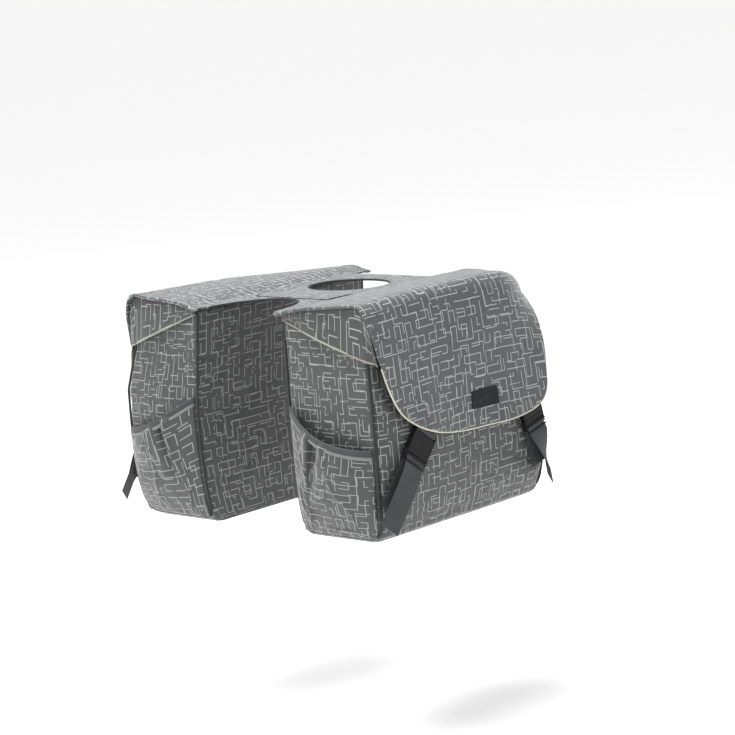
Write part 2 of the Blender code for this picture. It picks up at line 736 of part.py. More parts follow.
def ribbon_mesh(name, path):
    """Webbing: a strip of even width and thickness along a path in the buckle's upright plane."""
    path = np.array(path)
    run = np.gradient(path, axis=0)
    run /= np.linalg.norm(run, axis=1)[:, None]
    normal = np.column_stack([-run[:, 1], run[:, 0]])
    half = STRAP_WIDTH / 2
    points, faces = [], []
    for (up, out), (n_up, n_out) in zip(path, normal):
        for x, sign in ((-half, 1), (half, 1), (half, -1), (-half, -1)):
            points.append((x, up + n_up * sign * STRAP_THICK / 2, out + n_out * sign * STRAP_THICK / 2))
    for i in range(len(path) - 1):
        for k in range(4):
            a, b = 4 * i + k, 4 * i + (k + 1) % 4
            faces.append((a, b, b + 4, a + 4))
    last = 4 * (len(path) - 1)
    faces.append((3, 2, 1, 0))
    faces.append((last, last + 1, last + 2, last + 3))
    return mesh_from(name, points, faces)


def around_bar(bar_low, bar_high, turn_up):
    """A path that wraps a buckle's bar, from behind it to before it, through the slot beside it."""
    lift = BUCKLE_THICK * 0.2 + STRAP_THICK / 2 + 2 * TOUCH
    if turn_up:
        edge = bar_high
        bend = STRAP_THICK / 2 + 2.5 * TOUCH
    else:
        edge = bar_low
        bend = -(STRAP_THICK / 2 + 2.5 * TOUCH)
    corner = lift * 0.62
    return [(edge, -lift), (edge + bend, -corner), (edge + bend, corner), (edge, lift)]


def on_face(matrix, up, share_out):
    """The buckle-frame height above the body's face of a place up the strap's middle."""
    inverse = matrix.inverted()
    place = matrix @ Vector((0, up, 0))
    hit = Vector((face_x(place.y, place.z), place.y, place.z))
    return (inverse @ hit).z + share_out


def lower_strap(end, name):
    """Webbing sewn to the bag's lower corner, up round the plug's bar, and down again as a loose tail."""
    matrix = buckle_matrix(RIGHT, end)
    rise = math.cos(STRAP_LEAN[end])
    anchor_up = -(ANCHOR_DROP - BUCKLE_DROP) / rise
    tail_up = -(TAIL_DROP - BUCKLE_DROP) / rise
    seated = SEAT + STRAP_THICK / 2 + 0.0024
    anchor = on_face(matrix, anchor_up, seated)
    above = on_face(matrix, anchor_up * 0.88, seated + 0.0005)
    turn = around_bar(0.0, PLUG_BAR, True)
    behind = [(anchor_up, anchor), (anchor_up * 0.88, above), (anchor_up * 0.55, (above + turn[0][1]) * 0.55),
              (anchor_up * 0.25, turn[0][1] * 1.15), (0.0, turn[0][1])]
    front = turn[-1][1]
    tail = []
    for share in (0.0, 0.1, 0.25, 0.42, 0.6, 0.78, 0.93, 1.0):
        bow = TAIL_BOW * math.sin(math.pi * share ** 0.7)
        tail.append((tail_up * share - 0.0005, front + bow + 0.004 * share))
    return ribbon_mesh(name, behind + turn + tail)


def upper_strap(end, name):
    """A short loop of webbing from under the apron down round the socket's bar."""
    matrix = buckle_matrix(RIGHT, end)
    inverse = matrix.inverted()
    top = PLUG_BASE + TOUCH + SOCKET_LENGTH
    turn = around_bar(top - SOCKET_BAR, top, False)
    lead = 0.016
    reach = 1.0
    for across in (-STRAP_WIDTH / 2, 0.0, STRAP_WIDTH / 2):
        sewn = matrix @ Vector((across, top + lead, 0))
        under = Vector((apron_x(sewn.y, sewn.z) - FLAP_THICK / 2 - SEAT - 2 * STRAP_THICK, sewn.y, sewn.z))
        reach = min(reach, (inverse @ under).z)
    behind = [(top + 0.010, turn[0][1] + 0.0002), (top + 0.002, turn[0][1])]
    front = [(top + 0.002, turn[-1][1]), (top + 0.008, turn[-1][1] * 0.8 + reach * 0.2),
             (top + 0.015, turn[-1][1] * 0.2 + reach * 0.8), (top + lead, reach)]
    return ribbon_mesh(name, behind + turn + front)


def label(side, name):
    """A plain moulded patch that lies on the apron."""
    grid = np.zeros((4, 5, 3))
    for i, z in enumerate(np.linspace(-LABEL_DROP + LABEL_HEIGHT / 2, -LABEL_DROP - LABEL_HEIGHT / 2, 4)):
        for j, y in enumerate(np.linspace(LABEL_AT - LABEL_WIDTH / 2, LABEL_AT + LABEL_WIDTH / 2, 5)):
            grid[i, j] = (apron_x(y, z) + FLAP_THICK / 2 + 2 * SEAT + LABEL_THICK / 2, y, z)
    return add_object(name, cloth_mesh(name, placed(grid, side), LABEL_THICK), LABEL_RUBBER, BAGS[side])


PLUG, SOCKET = plug_mesh(), socket_mesh()
for end, place in ((REAR, "rear"), (FRONT, "front")):
    straps = lower_strap(end, "strap_lower_" + place), upper_strap(end, "strap_upper_" + place)
    for side, word in ((RIGHT, "right"), (LEFT, "left")):
        tag = f"{place}_{word}"
        matrix = buckle_matrix(side, end)
        add_object("buckle_plug_" + tag, PLUG, BUCKLE_PLASTIC, BAGS[side], matrix)
        add_object("buckle_socket_" + tag, SOCKET, BUCKLE_PLASTIC, BAGS[side], matrix)
        add_object("strap_lower_" + tag, straps[0], WEBBING, BAGS[side], matrix)
        add_object("strap_upper_" + tag, straps[1], WEBBING, BAGS[side], matrix)
        ear(side, end, "ear_" + tag)
        ear_hem(side, end, "ear_hem_" + tag)
        pocket(side, end, "pocket_" + tag)
        pocket_tape(side, end, "pocket_tape_" + tag)

for side, word in ((RIGHT, "right"), (LEFT, "left")):
    body(side, "body_" + word)
    flap(side, "flap_" + word)
    flap_piping(side, "flap_piping_" + word)

bridge("bridge")
bridge_tongue("bridge_tongue")
label(RIGHT, "label_right")
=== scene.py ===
# %% [markdown]
# # A double pannier in printed cloth
# Two stuffed bags hang either side of a cloth bridge. Each has a drop flap over its roof, a pocket with a bound
# mouth on each end, and two straps with side-release buckles.
# The imported model is the frame: it says where each piece is. The scene gives every soft piece its real surface and
# finish, so the frame is loaded first and its box is kept.

import math

import bmesh
import bpy
import numpy as np
from mathutils import Matrix, Vector


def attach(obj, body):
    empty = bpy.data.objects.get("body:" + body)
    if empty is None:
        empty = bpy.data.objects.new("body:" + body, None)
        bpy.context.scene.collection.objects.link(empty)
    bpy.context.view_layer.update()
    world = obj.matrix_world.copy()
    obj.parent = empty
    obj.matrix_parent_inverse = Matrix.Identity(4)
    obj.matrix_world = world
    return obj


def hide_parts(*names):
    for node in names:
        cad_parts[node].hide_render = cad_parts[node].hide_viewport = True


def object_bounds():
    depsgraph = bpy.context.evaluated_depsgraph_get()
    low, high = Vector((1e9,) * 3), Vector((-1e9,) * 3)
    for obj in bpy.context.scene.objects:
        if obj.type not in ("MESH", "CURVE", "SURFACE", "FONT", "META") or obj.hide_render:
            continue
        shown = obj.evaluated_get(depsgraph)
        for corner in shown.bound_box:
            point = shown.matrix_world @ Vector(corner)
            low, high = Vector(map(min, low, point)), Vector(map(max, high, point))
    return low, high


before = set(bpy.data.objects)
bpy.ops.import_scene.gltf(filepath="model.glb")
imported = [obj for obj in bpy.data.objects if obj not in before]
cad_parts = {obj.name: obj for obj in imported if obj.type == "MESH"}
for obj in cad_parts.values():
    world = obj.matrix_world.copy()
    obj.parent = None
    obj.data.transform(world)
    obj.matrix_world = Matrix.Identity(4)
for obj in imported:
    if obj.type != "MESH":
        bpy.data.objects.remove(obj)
cad_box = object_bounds()


def add(name, data):
    """A new object in the scene."""
    made = bpy.data.objects.new(name, data)
    bpy.context.scene.collection.objects.link(made)
    return made


print("frame:", len(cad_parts), "nodes, box", cad_box)

# %% [markdown]
# ## Camera
# The photograph was taken with a long lens from behind and to the right, a little above the bags. The angles, the
# distance and the lens were fitted to places that can be told apart on both bags, such as the corners of the flaps.
# A long lens is used because the two bags, nearly half a metre apart, differ little in size.

# %% Place the camera
AZIMUTH = math.radians(44.371)  # round from the rear, towards the right
ELEVATION = math.radians(9.576)
ROLL = math.radians(-4.961)
DISTANCE = 3.8769
AIM_ACROSS, AIM_UP = -0.0649, 0.1128  # where the frame's origin lies off the middle of the view
LENS, SENSOR = 127.05, 36.0  # millimetres


def view_axes(azimuth, elevation, roll):
    """The camera's right, up and back, as rows: back points from the object to the camera."""
    back = np.array([math.sin(azimuth) * math.cos(elevation), -math.cos(azimuth) * math.cos(elevation),
                     math.sin(elevation)])
    right = np.array([math.cos(azimuth), math.sin(azimuth), 0.0])
    up = np.cross(back, right)
    turn = np.array([[math.cos(roll), math.sin(roll), 0], [-math.sin(roll), math.cos(roll), 0], [0, 0, 1]])
    return turn @ np.array([right, up, back])


axes = view_axes(AZIMUTH, ELEVATION, ROLL)
camera_place = axes.T @ np.array([-AIM_ACROSS, -AIM_UP, DISTANCE])
camera_data = bpy.data.cameras.new("camera")
camera_data.lens = LENS
camera_data.sensor_width = SENSOR
camera_data.clip_end = 500.0
camera = add("camera", camera_data)
camera.matrix_world = Matrix.Translation(Vector(camera_place)) @ Matrix(axes.T.tolist()).to_4x4()
bpy.context.scene.camera = camera
print("camera at", np.round(camera_place, 3))
# %% [markdown]
# ## Shader maths
# A finish is mostly arithmetic on positions: fractions, distances and masks. Written as nodes one by one, that is
# hard to read, so a small class wraps a socket and lets Python's own operators add the Math nodes. Every other node
# comes from one method, which takes its type, its settings and the values or links of its sockets.

# %% Wrap sockets and nodes
class Value:
    """A number on a shader's wire. Each operator adds one Math node and gives its result as a new value."""

    def __init__(self, finish, socket):
        self.finish, self.socket = finish, socket

    def math(self, operation, *others):
        settings = {"operation": operation}
        return self.finish.node("ShaderNodeMath", settings, dict(enumerate([self, *others]))).value()

    def __add__(self, other):
        return self.math("ADD", other)

    def __sub__(self, other):
        return self.math("SUBTRACT", other)

    def __rsub__(self, other):
        return self * -1.0 + other

    def __mul__(self, other):
        return self.math("MULTIPLY", other)

    def __truediv__(self, other):
        return self.math("DIVIDE", other)

    __radd__, __rmul__ = __add__, __mul__

    def ramp(self, low, high):
        """0 below low, 1 above high and smooth between."""
        inputs = {0: self, 1: low, 2: high}
        return self.finish.node("ShaderNodeMapRange", {"interpolation_type": "SMOOTHSTEP"}, inputs).value()


class Made:
    """A node that has just been added, with its outputs by name."""

    def __init__(self, finish, node):
        self.finish, self.node = finish, node

    def value(self, name=0):
        return Value(self.finish, self.node.outputs[name])


class Finish:
    """A material and the nodes in it."""

    def __init__(self, name):
        self.material = bpy.data.materials.new(name)
        self.material.use_nodes = True
        self.tree = self.material.node_tree
        self.surface = self.tree.nodes["Principled BSDF"]

    def node(self, kind, settings=None, inputs=None):
        made = self.tree.nodes.new(kind)
        for name, setting in (settings or {}).items():
            setattr(made, name, setting)
        for name, value in (inputs or {}).items():
            self.put(made.inputs[name], value)
        return Made(self, made)

    def put(self, socket, value):
        if isinstance(value, Value):
            self.tree.links.new(value.socket, socket)
        else:
            socket.default_value = value

    def principled(self, **sockets):
        """Sets the surface's own sockets; a name's underscores stand for spaces."""
        for name, value in sockets.items():
            self.put(self.surface.inputs[name.replace("_", " ")], value)

    def uv(self):
        """The cloth's own two measures, in metres along its columns and down its rows."""
        parts = self.node("ShaderNodeSeparateXYZ", {}, {0: self.node("ShaderNodeUVMap").value()})
        return parts.value("X"), parts.value("Y")

    def chance(self, x, y, seed):
        """A random number from 0 to 1 for each pair of whole numbers."""
        place = self.node("ShaderNodeCombineXYZ", {}, {"X": x, "Y": y, "Z": seed}).value()
        return self.node("ShaderNodeTexWhiteNoise", {"noise_dimensions": "3D"}, {"Vector": place}).value("Value")

    def noise(self, scale, detail=2.0):
        """Soft noise over the object, about 0.5 on average."""
        place = self.node("ShaderNodeTexCoord").value("Object")
        return self.node("ShaderNodeTexNoise", {}, {"Vector": place, "Scale": scale, "Detail": detail}).value("Fac")

    def mix(self, share, a, b):
        """Colour a where share is 0 and b where it is 1."""
        made = self.node("ShaderNodeMix", {"data_type": "RGBA"})
        for name, value in ((0, share), (6, a), (7, b)):
            self.put(made.node.inputs[name], value)
        return made.value(2)

    def bump(self, height, distance):
        """Normals tilted as if the surface rose by height times distance, in metres."""
        inputs = {"Height": height, "Distance": distance, "Strength": 1.0}
        self.principled(Normal=self.node("ShaderNodeBump", {}, inputs).value())


print("shader maths is ready")
# %% [markdown]
# ## Printed cloth
# The bags are sewn from a grey coated polyester with a paler print of thin lines that turn at right angles: gates,
# steps, angles and open boxes. The print is drawn by arithmetic on the cloth's own measures, in metres, so it keeps
# its scale and bends with the cloth. The cloth is divided into square tiles of four lattice steps, once closely and
# once more widely, so that some shapes overlap. A random number picks one of four motifs for each tile, and three
# more turn or mirror it. A line that leaves a tile does so at its first or third step, so it can run on into the next
# tile. A motif is written as corners of lines, and stored as the bits of two whole numbers.

# %% Finish of the printed cloth
PRINT_PITCHES = (0.0057, 0.0080)  # of the close and the wide lattice
PRINT_LINE = 0.00115
TILE = 4  # lattice steps across a tile
WEAVE_PITCH = 0.0007
MOTIFS = {
    # corners of each printed line, in lattice steps on a tile
    "gate": [[(1, 4), (1, 1), (3, 1), (3, 4)]],
    "box": [[(0, 1), (3, 1), (3, 3), (1, 3)]],
    "angles": [[(1, 0), (1, 3), (4, 3)], [(3, 0), (3, 1), (4, 1)]],
    "bars": [[(0, 3), (4, 3)], [(0, 1), (2, 1), (2, 0)]],
}
WIDE_MOTIFS = {
    "gate": [[(1, 0), (1, 3), (3, 3), (3, 1)]],
    "angle": [[(0, 1), (3, 1), (3, 4)]],
    "step": [[(0, 3), (2, 3), (2, 1), (4, 1)]],
    "bare": [[(1, 3), (3, 3)]],
}


def edge_bits(lines, upright):
    """The lattice edges along some lines as a whole number: bit 4 (j - 1) + i is the edge from step i on line j."""
    total = 0
    for line in lines:
        for start, end in zip(line, line[1:]):
            along, line_at = (1, 0) if upright else (0, 1)
            if start[line_at] != end[line_at]:
                continue
            for step in range(*sorted((start[along], end[along]))):
                total |= 1 << (TILE * (start[line_at] - 1) + step)
    return total


def pick(cloth, choice, numbers):
    """The number whose turn it is, for a choice from 0 to 1 cut into equal parts."""
    total = float(numbers[0])
    for k, (before, after) in enumerate(zip(numbers, numbers[1:])):
        total = choice.math("GREATER_THAN", (k + 1) / len(numbers)) * float(after - before) + total
    return total


def printed_edges(cloth, along, across, bits, pitch):
    """1 on the printed lattice edges that run along: the bit of the nearest line's edge, times closeness to it."""
    line, step = (across + 0.5).math("FLOOR"), along.math("FLOOR")
    place = (line - 1.0) * float(TILE) + step
    worth = cloth.node("ShaderNodeMath", {"operation": "POWER"}, {0: 2.0, 1: place}).value()
    bit = ((bits + 0.5) / worth).math("FLOOR").math("MODULO", 2.0)
    inside = (line - 2.0).math("ABSOLUTE").math("LESS_THAN", 1.5)
    half = PRINT_LINE / pitch / 2
    return (across - line).math("ABSOLUTE").ramp(half * 1.25, half * 0.75) * bit * inside


def printed_layer(cloth, pitch, motifs, seed):
    """1 on the lines of one lattice of tiles."""
    u, v = cloth.uv()
    x, y = u / (pitch * TILE), v / (pitch * TILE)
    tile_x, tile_y = x.math("FLOOR"), y.math("FLOOR")
    x, y = x.math("FRACT") * float(TILE), y.math("FRACT") * float(TILE)
    swap, flip_x, flip_y = [cloth.chance(tile_x, tile_y, seed + k).math("GREATER_THAN", 0.5) for k in range(3)]
    x, y = x + (y - x) * swap, y + (x - y) * swap
    x, y = x + (TILE - 2.0 * x) * flip_x, y + (TILE - 2.0 * y) * flip_y
    choice = cloth.chance(tile_x, tile_y, seed + 3)
    flat = pick(cloth, choice, [edge_bits(lines, False) for lines in motifs.values()])
    upright = pick(cloth, choice, [edge_bits(lines, True) for lines in motifs.values()])
    return printed_edges(cloth, x, y, flat, pitch).math("MAXIMUM", printed_edges(cloth, y, x, upright, pitch))


def shade(colour, factor=1.0):
    """The colour as a socket takes it, made lighter or darker."""
    return [c * factor for c in colour] + [1.0]


def printed_cloth(name, ground, ink, rough, seed):
    cloth = Finish(name)
    close, wide = [printed_layer(cloth, pitch, motifs, seed + 9 * k)
                   for k, (pitch, motifs) in enumerate(zip(PRINT_PITCHES, (MOTIFS, WIDE_MOTIFS)))]
    lines = close.math("MAXIMUM", wide)
    u, v = cloth.uv()
    wear = cloth.noise(35.0, 4.0)
    worn_ink = lines * wear.ramp(0.15, 0.45)
    dusty = cloth.mix(cloth.noise(9.0, 3.0).ramp(0.3, 0.7), shade(ground, 0.93), shade(ground, 1.08))
    cloth.principled(Base_Color=cloth.mix(worn_ink, dusty, shade(ink)), Roughness=wear * 0.16 + rough)
    cloth.principled(Specular_IOR_Level=0.5, Sheen_Weight=0.28, Sheen_Roughness=0.35)
    weave = (u * (2 * math.pi / WEAVE_PITCH)).math("SINE") * (v * (2 * math.pi / WEAVE_PITCH)).math("SINE")
    creased = cloth.noise(60.0, 5.0)
    cloth.bump(creased * 0.9 + weave * 0.04, 0.0011)
    return cloth.material


CLOTH = printed_cloth("printed_cloth", (0.040, 0.043, 0.042), (0.27, 0.285, 0.275), 0.42, 1.0)
# The flap's copy of the cloth has a lighter, bluer ground and paler ink than the bags'. The paler ink is painted
# light: it keeps the print showing in the sheen on the top-lit roofs.
LIT_FLAP_CLOTH = printed_cloth("printed_cloth_flap_lit", (0.048, 0.053, 0.056), (0.33, 0.345, 0.335), 0.36, 12.0)
print("printed cloth:", len(CLOTH.node_tree.nodes), "nodes")

# %% [markdown]
# ## Tapes, webbing and piping
# The narrow goods are woven more coarsely than the cloth. Webbing has ribs across its length, a tape has a fine
# herringbone, and piping is a cord inside a folded strip. Their weave is drawn on the strip's own measures, with a
# bump a fraction of a millimetre high. The tape's paler lower edge is a painted highlight.

# %% Finishes of the narrow goods
def woven(name, colour, pitch, depth, rough, edge=None):
    """Ribs along the strip's length; edge is (from, to, colour) of a painted highlight that makes a strip paler along
    one side.
    """
    goods = Finish(name)
    u, v = goods.uv()
    rib = (v * (2 * math.pi / pitch)).math("SINE")
    thread = ((u / pitch * 1.5).math("FLOOR") * 0.5).math("FRACT") * 2.0 - 0.5
    grain = goods.noise(300.0, 2.0)
    worn = goods.noise(25.0, 3.0).ramp(0.25, 0.75) * 0.6 + grain * 0.4
    tint = goods.mix(worn, shade(colour, 0.8), shade(colour, 1.22))
    if edge:
        start, end, highlight_colour = edge
        # Painted highlight: the strip is paler towards one side, standing for the light caught by a rolled rim.
        tint = goods.mix(v.ramp(start, end), tint, shade(highlight_colour))
    goods.principled(Base_Color=tint, Roughness=grain * 0.15 + rough, Specular_IOR_Level=0.2, Sheen_Weight=0.08)
    goods.bump(rib * thread + grain * 0.6, depth)
    return goods.material


TAPE_WIDTH = 0.0125
WEBBING = woven("webbing", (0.042, 0.045, 0.046), 0.0016, 0.00022, 0.7)
# The tape's paler lower edge is a painted highlight, for the light on its rolled lower rim.
TAPE = woven("tape_cloth", (0.050, 0.053, 0.054), 0.0011, 0.00012, 0.6,
             (TAPE_WIDTH * 0.62, TAPE_WIDTH * 0.80, (0.175, 0.182, 0.18)))
WELT = woven("welt_cloth", (0.026, 0.028, 0.029), 0.0012, 0.0001, 0.65)
PIPING = woven("piping_cloth", (0.52, 0.49, 0.40), 0.0009, 0.00008, 0.7)
HEM = woven("hem_cloth", (0.27, 0.265, 0.215), 0.0009, 0.00008, 0.7)
print("narrow goods:", WEBBING.name, TAPE.name, WELT.name, PIPING.name)

# %% [markdown]
# ## Moulded parts
# The buckles are black nylon from a mould: smooth, with a faint orange-peel and a few paler scuffs, scattered at
# random. The patch is a dark soft rubber, duller and with a fine grain.

# %% Finishes of the moulded parts
def moulded(name, colour, rough, grain_scale, depth):
    part = Finish(name)
    scuff = part.noise(90.0, 5.0).ramp(0.56, 0.72)
    part.principled(Base_Color=part.mix(scuff, shade(colour), shade(colour, 1.9)),
                    Roughness=scuff * 0.2 + rough, Specular_IOR_Level=0.12)
    part.bump(part.noise(grain_scale, 2.0), depth)
    return part.material


PLASTIC = moulded("buckle_plastic", (0.010, 0.010, 0.011), 0.42, 700.0, 0.00005)
RUBBER = moulded("label_rubber", (0.015, 0.016, 0.018), 0.6, 1200.0, 0.00008)
print("moulded:", PLASTIC.name, RUBBER.name)
# %% [markdown]
# ## Floor and light
# The backdrop is plain white. A wide pale floor well below the hanging bags stands for it, and a white sky fades it
# out at the horizon. One broad soft light from above and behind gives the roofs their sheen, and a weaker one from
# the camera's left shows the folds.

# %% Set the stage
FLOOR_DROP, FLOOR_RADIUS = 0.30, 150  # the drop is from the lowest point of the bags
floor_z = cad_box[0][2] - FLOOR_DROP
mesh = bpy.data.meshes.new("floor")
turns = np.linspace(0, 2 * math.pi, 97)[:-1]
rim = [(FLOOR_RADIUS * math.cos(t), FLOOR_RADIUS * math.sin(t), floor_z) for t in turns]
mesh.from_pydata(rim, [], [tuple(range(len(turns)))])
floor = add("floor", mesh)
pale = Finish("pale_floor")
pale.principled(Base_Color=(0.93, 0.93, 0.925, 1.0), Roughness=0.9, Specular_IOR_Level=0.0)
mesh.materials.append(pale.material)

world = bpy.data.worlds.new("studio")
world.use_nodes = True
world.node_tree.nodes["Background"].inputs["Color"].default_value = (1.0, 1.0, 1.0, 1.0)
world.node_tree.nodes["Background"].inputs["Strength"].default_value = 1.0
bpy.context.scene.world = world
bpy.context.scene.view_settings.view_transform = "Standard"


def soft_light(name, place, size, watts):
    """A square lamp that looks at the bags' middle."""
    lamp = bpy.data.lights.new(name, "AREA")
    lamp.size, lamp.energy = size, watts
    look = Vector((0.05, 0.0, -0.1)) - Vector(place)
    turned = look.to_track_quat("-Z", "Y").to_matrix().to_4x4()
    add(name, lamp).matrix_world = Matrix.Translation(Vector(place)) @ turned


soft_light("overhead", (-0.4, -0.5, 2.6), 2.0, 160.0)
soft_light("left_side", (-0.6, -2.8, 1.2), 1.4, 4.0)
print("floor at", round(floor_z, 3))
# %% [markdown]
# ## Surfaces from arrays
# Each piece is a grid of points worked out as one array. A smooth curve through a few points gives its large form,
# noise gives its dents, and one function gives a sheet its two faces and a rounded edge. The cloth's own measures
# come from the lengths between the grid's points, so the print has the same scale on every piece.

# %% Curves, noise and sheets
CORD_SIDES = 14
NO_PATH_RUNS = np.array([0.31, 0.17, 0.94])  # a direction that no cord takes


def cubic(values, slope, k, s, width):
    """Values at a share s of the way from entry k to the next, on a cubic with the slopes of both."""
    return (values[k] * (2 * s**3 - 3 * s**2 + 1) + values[k + 1] * (3 * s**2 - 2 * s**3)
            + width * slope[k] * (s**3 - 2 * s**2 + s) + width * slope[k + 1] * (s**3 - s**2))


def unit(vectors):
    """The same directions, 1 long."""
    return vectors / np.maximum(np.linalg.norm(vectors, axis=-1, keepdims=True), 1e-12)


def lengths(path):
    """How far along a path each of its points lies."""
    return np.concatenate([[0], np.cumsum(np.linalg.norm(np.diff(path, axis=0), axis=-1))])


def through(points, at):
    """Points on a smooth curve through a list of points, at shares of its length: each stretch is a cubic whose
    ends have the slopes of their neighbours."""
    points = np.asarray(points, dtype=float)
    step = np.linalg.norm(np.diff(points, axis=0), axis=-1).reshape(len(points) - 1, -1).mean(axis=1)
    place = np.concatenate([[0], np.cumsum(step)]) / step.sum()
    slope = np.gradient(points, place, axis=0)
    k = np.clip(np.searchsorted(place, at, side="right") - 1, 0, len(place) - 2)
    wide = (1,) * (points.ndim - 1)
    width = place[k + 1] - place[k]
    s = ((at - place[k]) / width).reshape(-1, *wide)
    return cubic(points, slope, k, s, width.reshape(-1, *wide))


def level(rows, column, at):
    """A table's column at any place of its first one: a cubic between neighbouring rows."""
    rows = np.asarray(rows, dtype=float)
    x, y = rows[:, 0], rows[:, column]
    slope = np.gradient(y, x)
    at = np.clip(at, x[0], x[-1])
    k = np.clip(np.searchsorted(x, at, side="right") - 1, 0, len(x) - 2)
    width = x[k + 1] - x[k]
    return cubic(y, slope, k, (at - x[k]) / width, width)


def dents(u, v, size, seed, octaves=3):
    """Smooth noise from -1 to 1: random heights on a lattice of that size, blended, and half as much at half the
    size for each octave."""
    heights = np.random.default_rng(seed).uniform(-1, 1, (64, 64))
    total = 0.0
    for octave in range(octaves):
        x, y = u / size * 2**octave + 7.3 * octave, v / size * 2**octave
        i, j = np.floor(x).astype(int), np.floor(y).astype(int)
        s, t = x - i, y - j
        s, t = s * s * (3 - 2 * s), t * t * (3 - 2 * t)
        corner = [heights[(i + a) % 64, (j + b) % 64] for a in (0, 1) for b in (0, 1)]
        blend = (corner[0] * (1 - t) + corner[1] * t) * (1 - s) + (corner[2] * (1 - t) + corner[3] * t) * s
        total = total + blend / 2**octave
    return total


def creases(u, v, size, seed, sharp=5):
    """Narrow ridges, 1 high, along the lines where soft noise crosses zero."""
    return (1 - np.clip(np.abs(dents(u, v, size, seed, 2)), 0, 1)) ** sharp


def normals(grid, closed=False):
    """Unit normals of a grid, from its neighbours; closed if its last column meets its first."""
    if closed:
        grid = np.concatenate([grid[:, -1:], grid, grid[:, :1]], axis=1)
    normal = unit(np.cross(np.gradient(grid, axis=0), np.gradient(grid, axis=1)))
    return normal[:, 1:-1] if closed else normal


def quads(number, closed=False):
    """The four corners of each face between neighbouring points of a numbered grid."""
    if closed:
        number = np.hstack([number, number[:, :1]])
    corners = [number[:-1, :-1], number[:-1, 1:], number[1:, 1:], number[1:, :-1]]
    return np.stack(corners, axis=-1).reshape(-1, 4)


def capped(number):
    """The faces of a numbered grid that closes on itself, with a fan at each end round a point that follows it."""
    after = np.roll(number, -1, axis=1)
    fans = [np.stack([number[row], after[row], np.full(number.shape[1], number.size + k)], axis=-1).tolist()
            for k, row in enumerate((0, -1))]
    return [*quads(number, closed=True).tolist(), *fans[0], *fans[1]]


def cloth_measures(grid):
    """(u, v) in metres at each point: the lengths along the middle row and down the middle column."""
    rows, columns = grid.shape[:2]
    along = np.linalg.norm(np.diff(grid, axis=1), axis=2).mean(axis=0)
    down = np.linalg.norm(np.diff(grid, axis=0), axis=2).mean(axis=1)
    u = np.broadcast_to(np.concatenate([[0], np.cumsum(along)]), (rows, columns))
    v = np.broadcast_to(np.concatenate([[0], np.cumsum(down)])[:, None], (rows, columns))
    return np.stack([u, v], axis=-1)


def face_outwards(mesh, weld=0.0):
    """Joins points closer than weld, and turns every face outwards."""
    shape = bmesh.new()
    shape.from_mesh(mesh)
    if weld:
        bmesh.ops.remove_doubles(shape, verts=shape.verts, dist=weld)
    bmesh.ops.recalc_face_normals(shape, faces=shape.faces)
    shape.to_mesh(mesh)
    shape.free()


def at_corners(mesh, measures):
    """The points' measures at each face's corners."""
    corner = np.zeros(len(mesh.loops), dtype=int)
    mesh.loops.foreach_get("vertex_index", corner)
    return measures[corner]


def dressed(name, mesh, finish, replaced):
    """The mesh as an object with its finish, which rides on the root."""
    mesh.materials.append(finish)
    made = add(name, mesh)
    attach(made, "root")
    if replaced:
        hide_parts(*replaced)
    print(f"{name}: {len(mesh.vertices)} points, {len(mesh.polygons)} faces")
    return made


def piece(name, points, faces, measures, finish, replaced, around=0.0):
    """A closed mesh in the row frame, with its cloth measures as its UV map.

    Where the columns close on themselves, around is their length, which the first column's u grows by at the join.
    """
    mesh = bpy.data.meshes.new(name)
    mesh.from_pydata(points.tolist(), [], [list(face) for face in faces])
    uv = at_corners(mesh, measures)
    if around:
        face_of = np.repeat(np.arange(len(faces)), [len(face) for face in faces])
        most = np.zeros(len(faces))
        np.maximum.at(most, face_of, uv[:, 0])
        uv[:, 0] += around * (most[face_of] - uv[:, 0] > around / 2)
    mesh.uv_layers.new(name="cloth").data.foreach_set("uv", uv.ravel())
    face_outwards(mesh)
    mesh.shade_smooth()
    return dressed(name, mesh, finish, replaced)


def sheet(name, grid, thickness, finish, replaced=(), measures=None):
    """Cloth with two faces half the thickness either side of the grid, joined by an edge that is rounded outwards."""
    lift = normals(grid) * thickness / 2
    if measures is None:
        measures = cloth_measures(grid)
    rows, columns = grid.shape[:2]
    count = rows * columns
    number = np.arange(count).reshape(rows, columns)
    rim = np.concatenate([number[0, :-1], number[:-1, -1], number[-1, :0:-1], number[:0:-1, 0]])
    flat = grid.reshape(-1, 3)
    i, j = np.divmod(rim, columns)
    inner = number[np.clip(i, 1, rows - 2), np.clip(j, 1, columns - 2)]
    edge = flat[rim] + unit(flat[rim] - flat[inner]) * thickness * 0.42
    points = np.concatenate([flat + lift.reshape(-1, 3), flat - lift.reshape(-1, 3), edge])
    ring = np.arange(len(rim)) + 2 * count
    bands = quads(np.stack([rim, ring, rim + count]), closed=True)
    faces = np.concatenate([quads(number), quads(number + count), bands])
    uv = measures.reshape(-1, 2)
    return piece(name, points, faces, np.concatenate([uv, uv, uv[rim]]), finish, replaced)


def cord_along(name, path, radius, finish, replaced=()):
    """A round cord along a path: rings of a radius that may vary along it, square to the path, closed to points."""
    run = unit(np.gradient(path, axis=0))
    side = unit(np.cross(run, NO_PATH_RUNS))
    other = np.cross(run, side)
    turn = np.linspace(0, 2 * math.pi, CORD_SIDES + 1)[:-1]
    radius = np.broadcast_to(radius, (len(path),))[:, None, None]
    ring = side[:, None] * np.cos(turn)[None, :, None] + other[:, None] * np.sin(turn)[None, :, None]
    grid = path[:, None] + ring * radius
    caps = [path[:1] - run[:1] * radius[0, 0] * 0.6, path[-1:] + run[-1:] * radius[-1, 0] * 0.6]
    number = np.arange(len(path) * CORD_SIDES).reshape(len(path), CORD_SIDES)
    across, along = np.broadcast_arrays(turn[None] * float(radius.mean()), lengths(path)[:, None])
    uv = np.stack([across, along], axis=-1).reshape(-1, 2)
    points = np.concatenate([grid.reshape(-1, 3), *caps])
    return piece(name, points, capped(number), np.concatenate([uv, uv[:1], uv[-1:]]), finish, replaced)


print("surface helpers are ready")
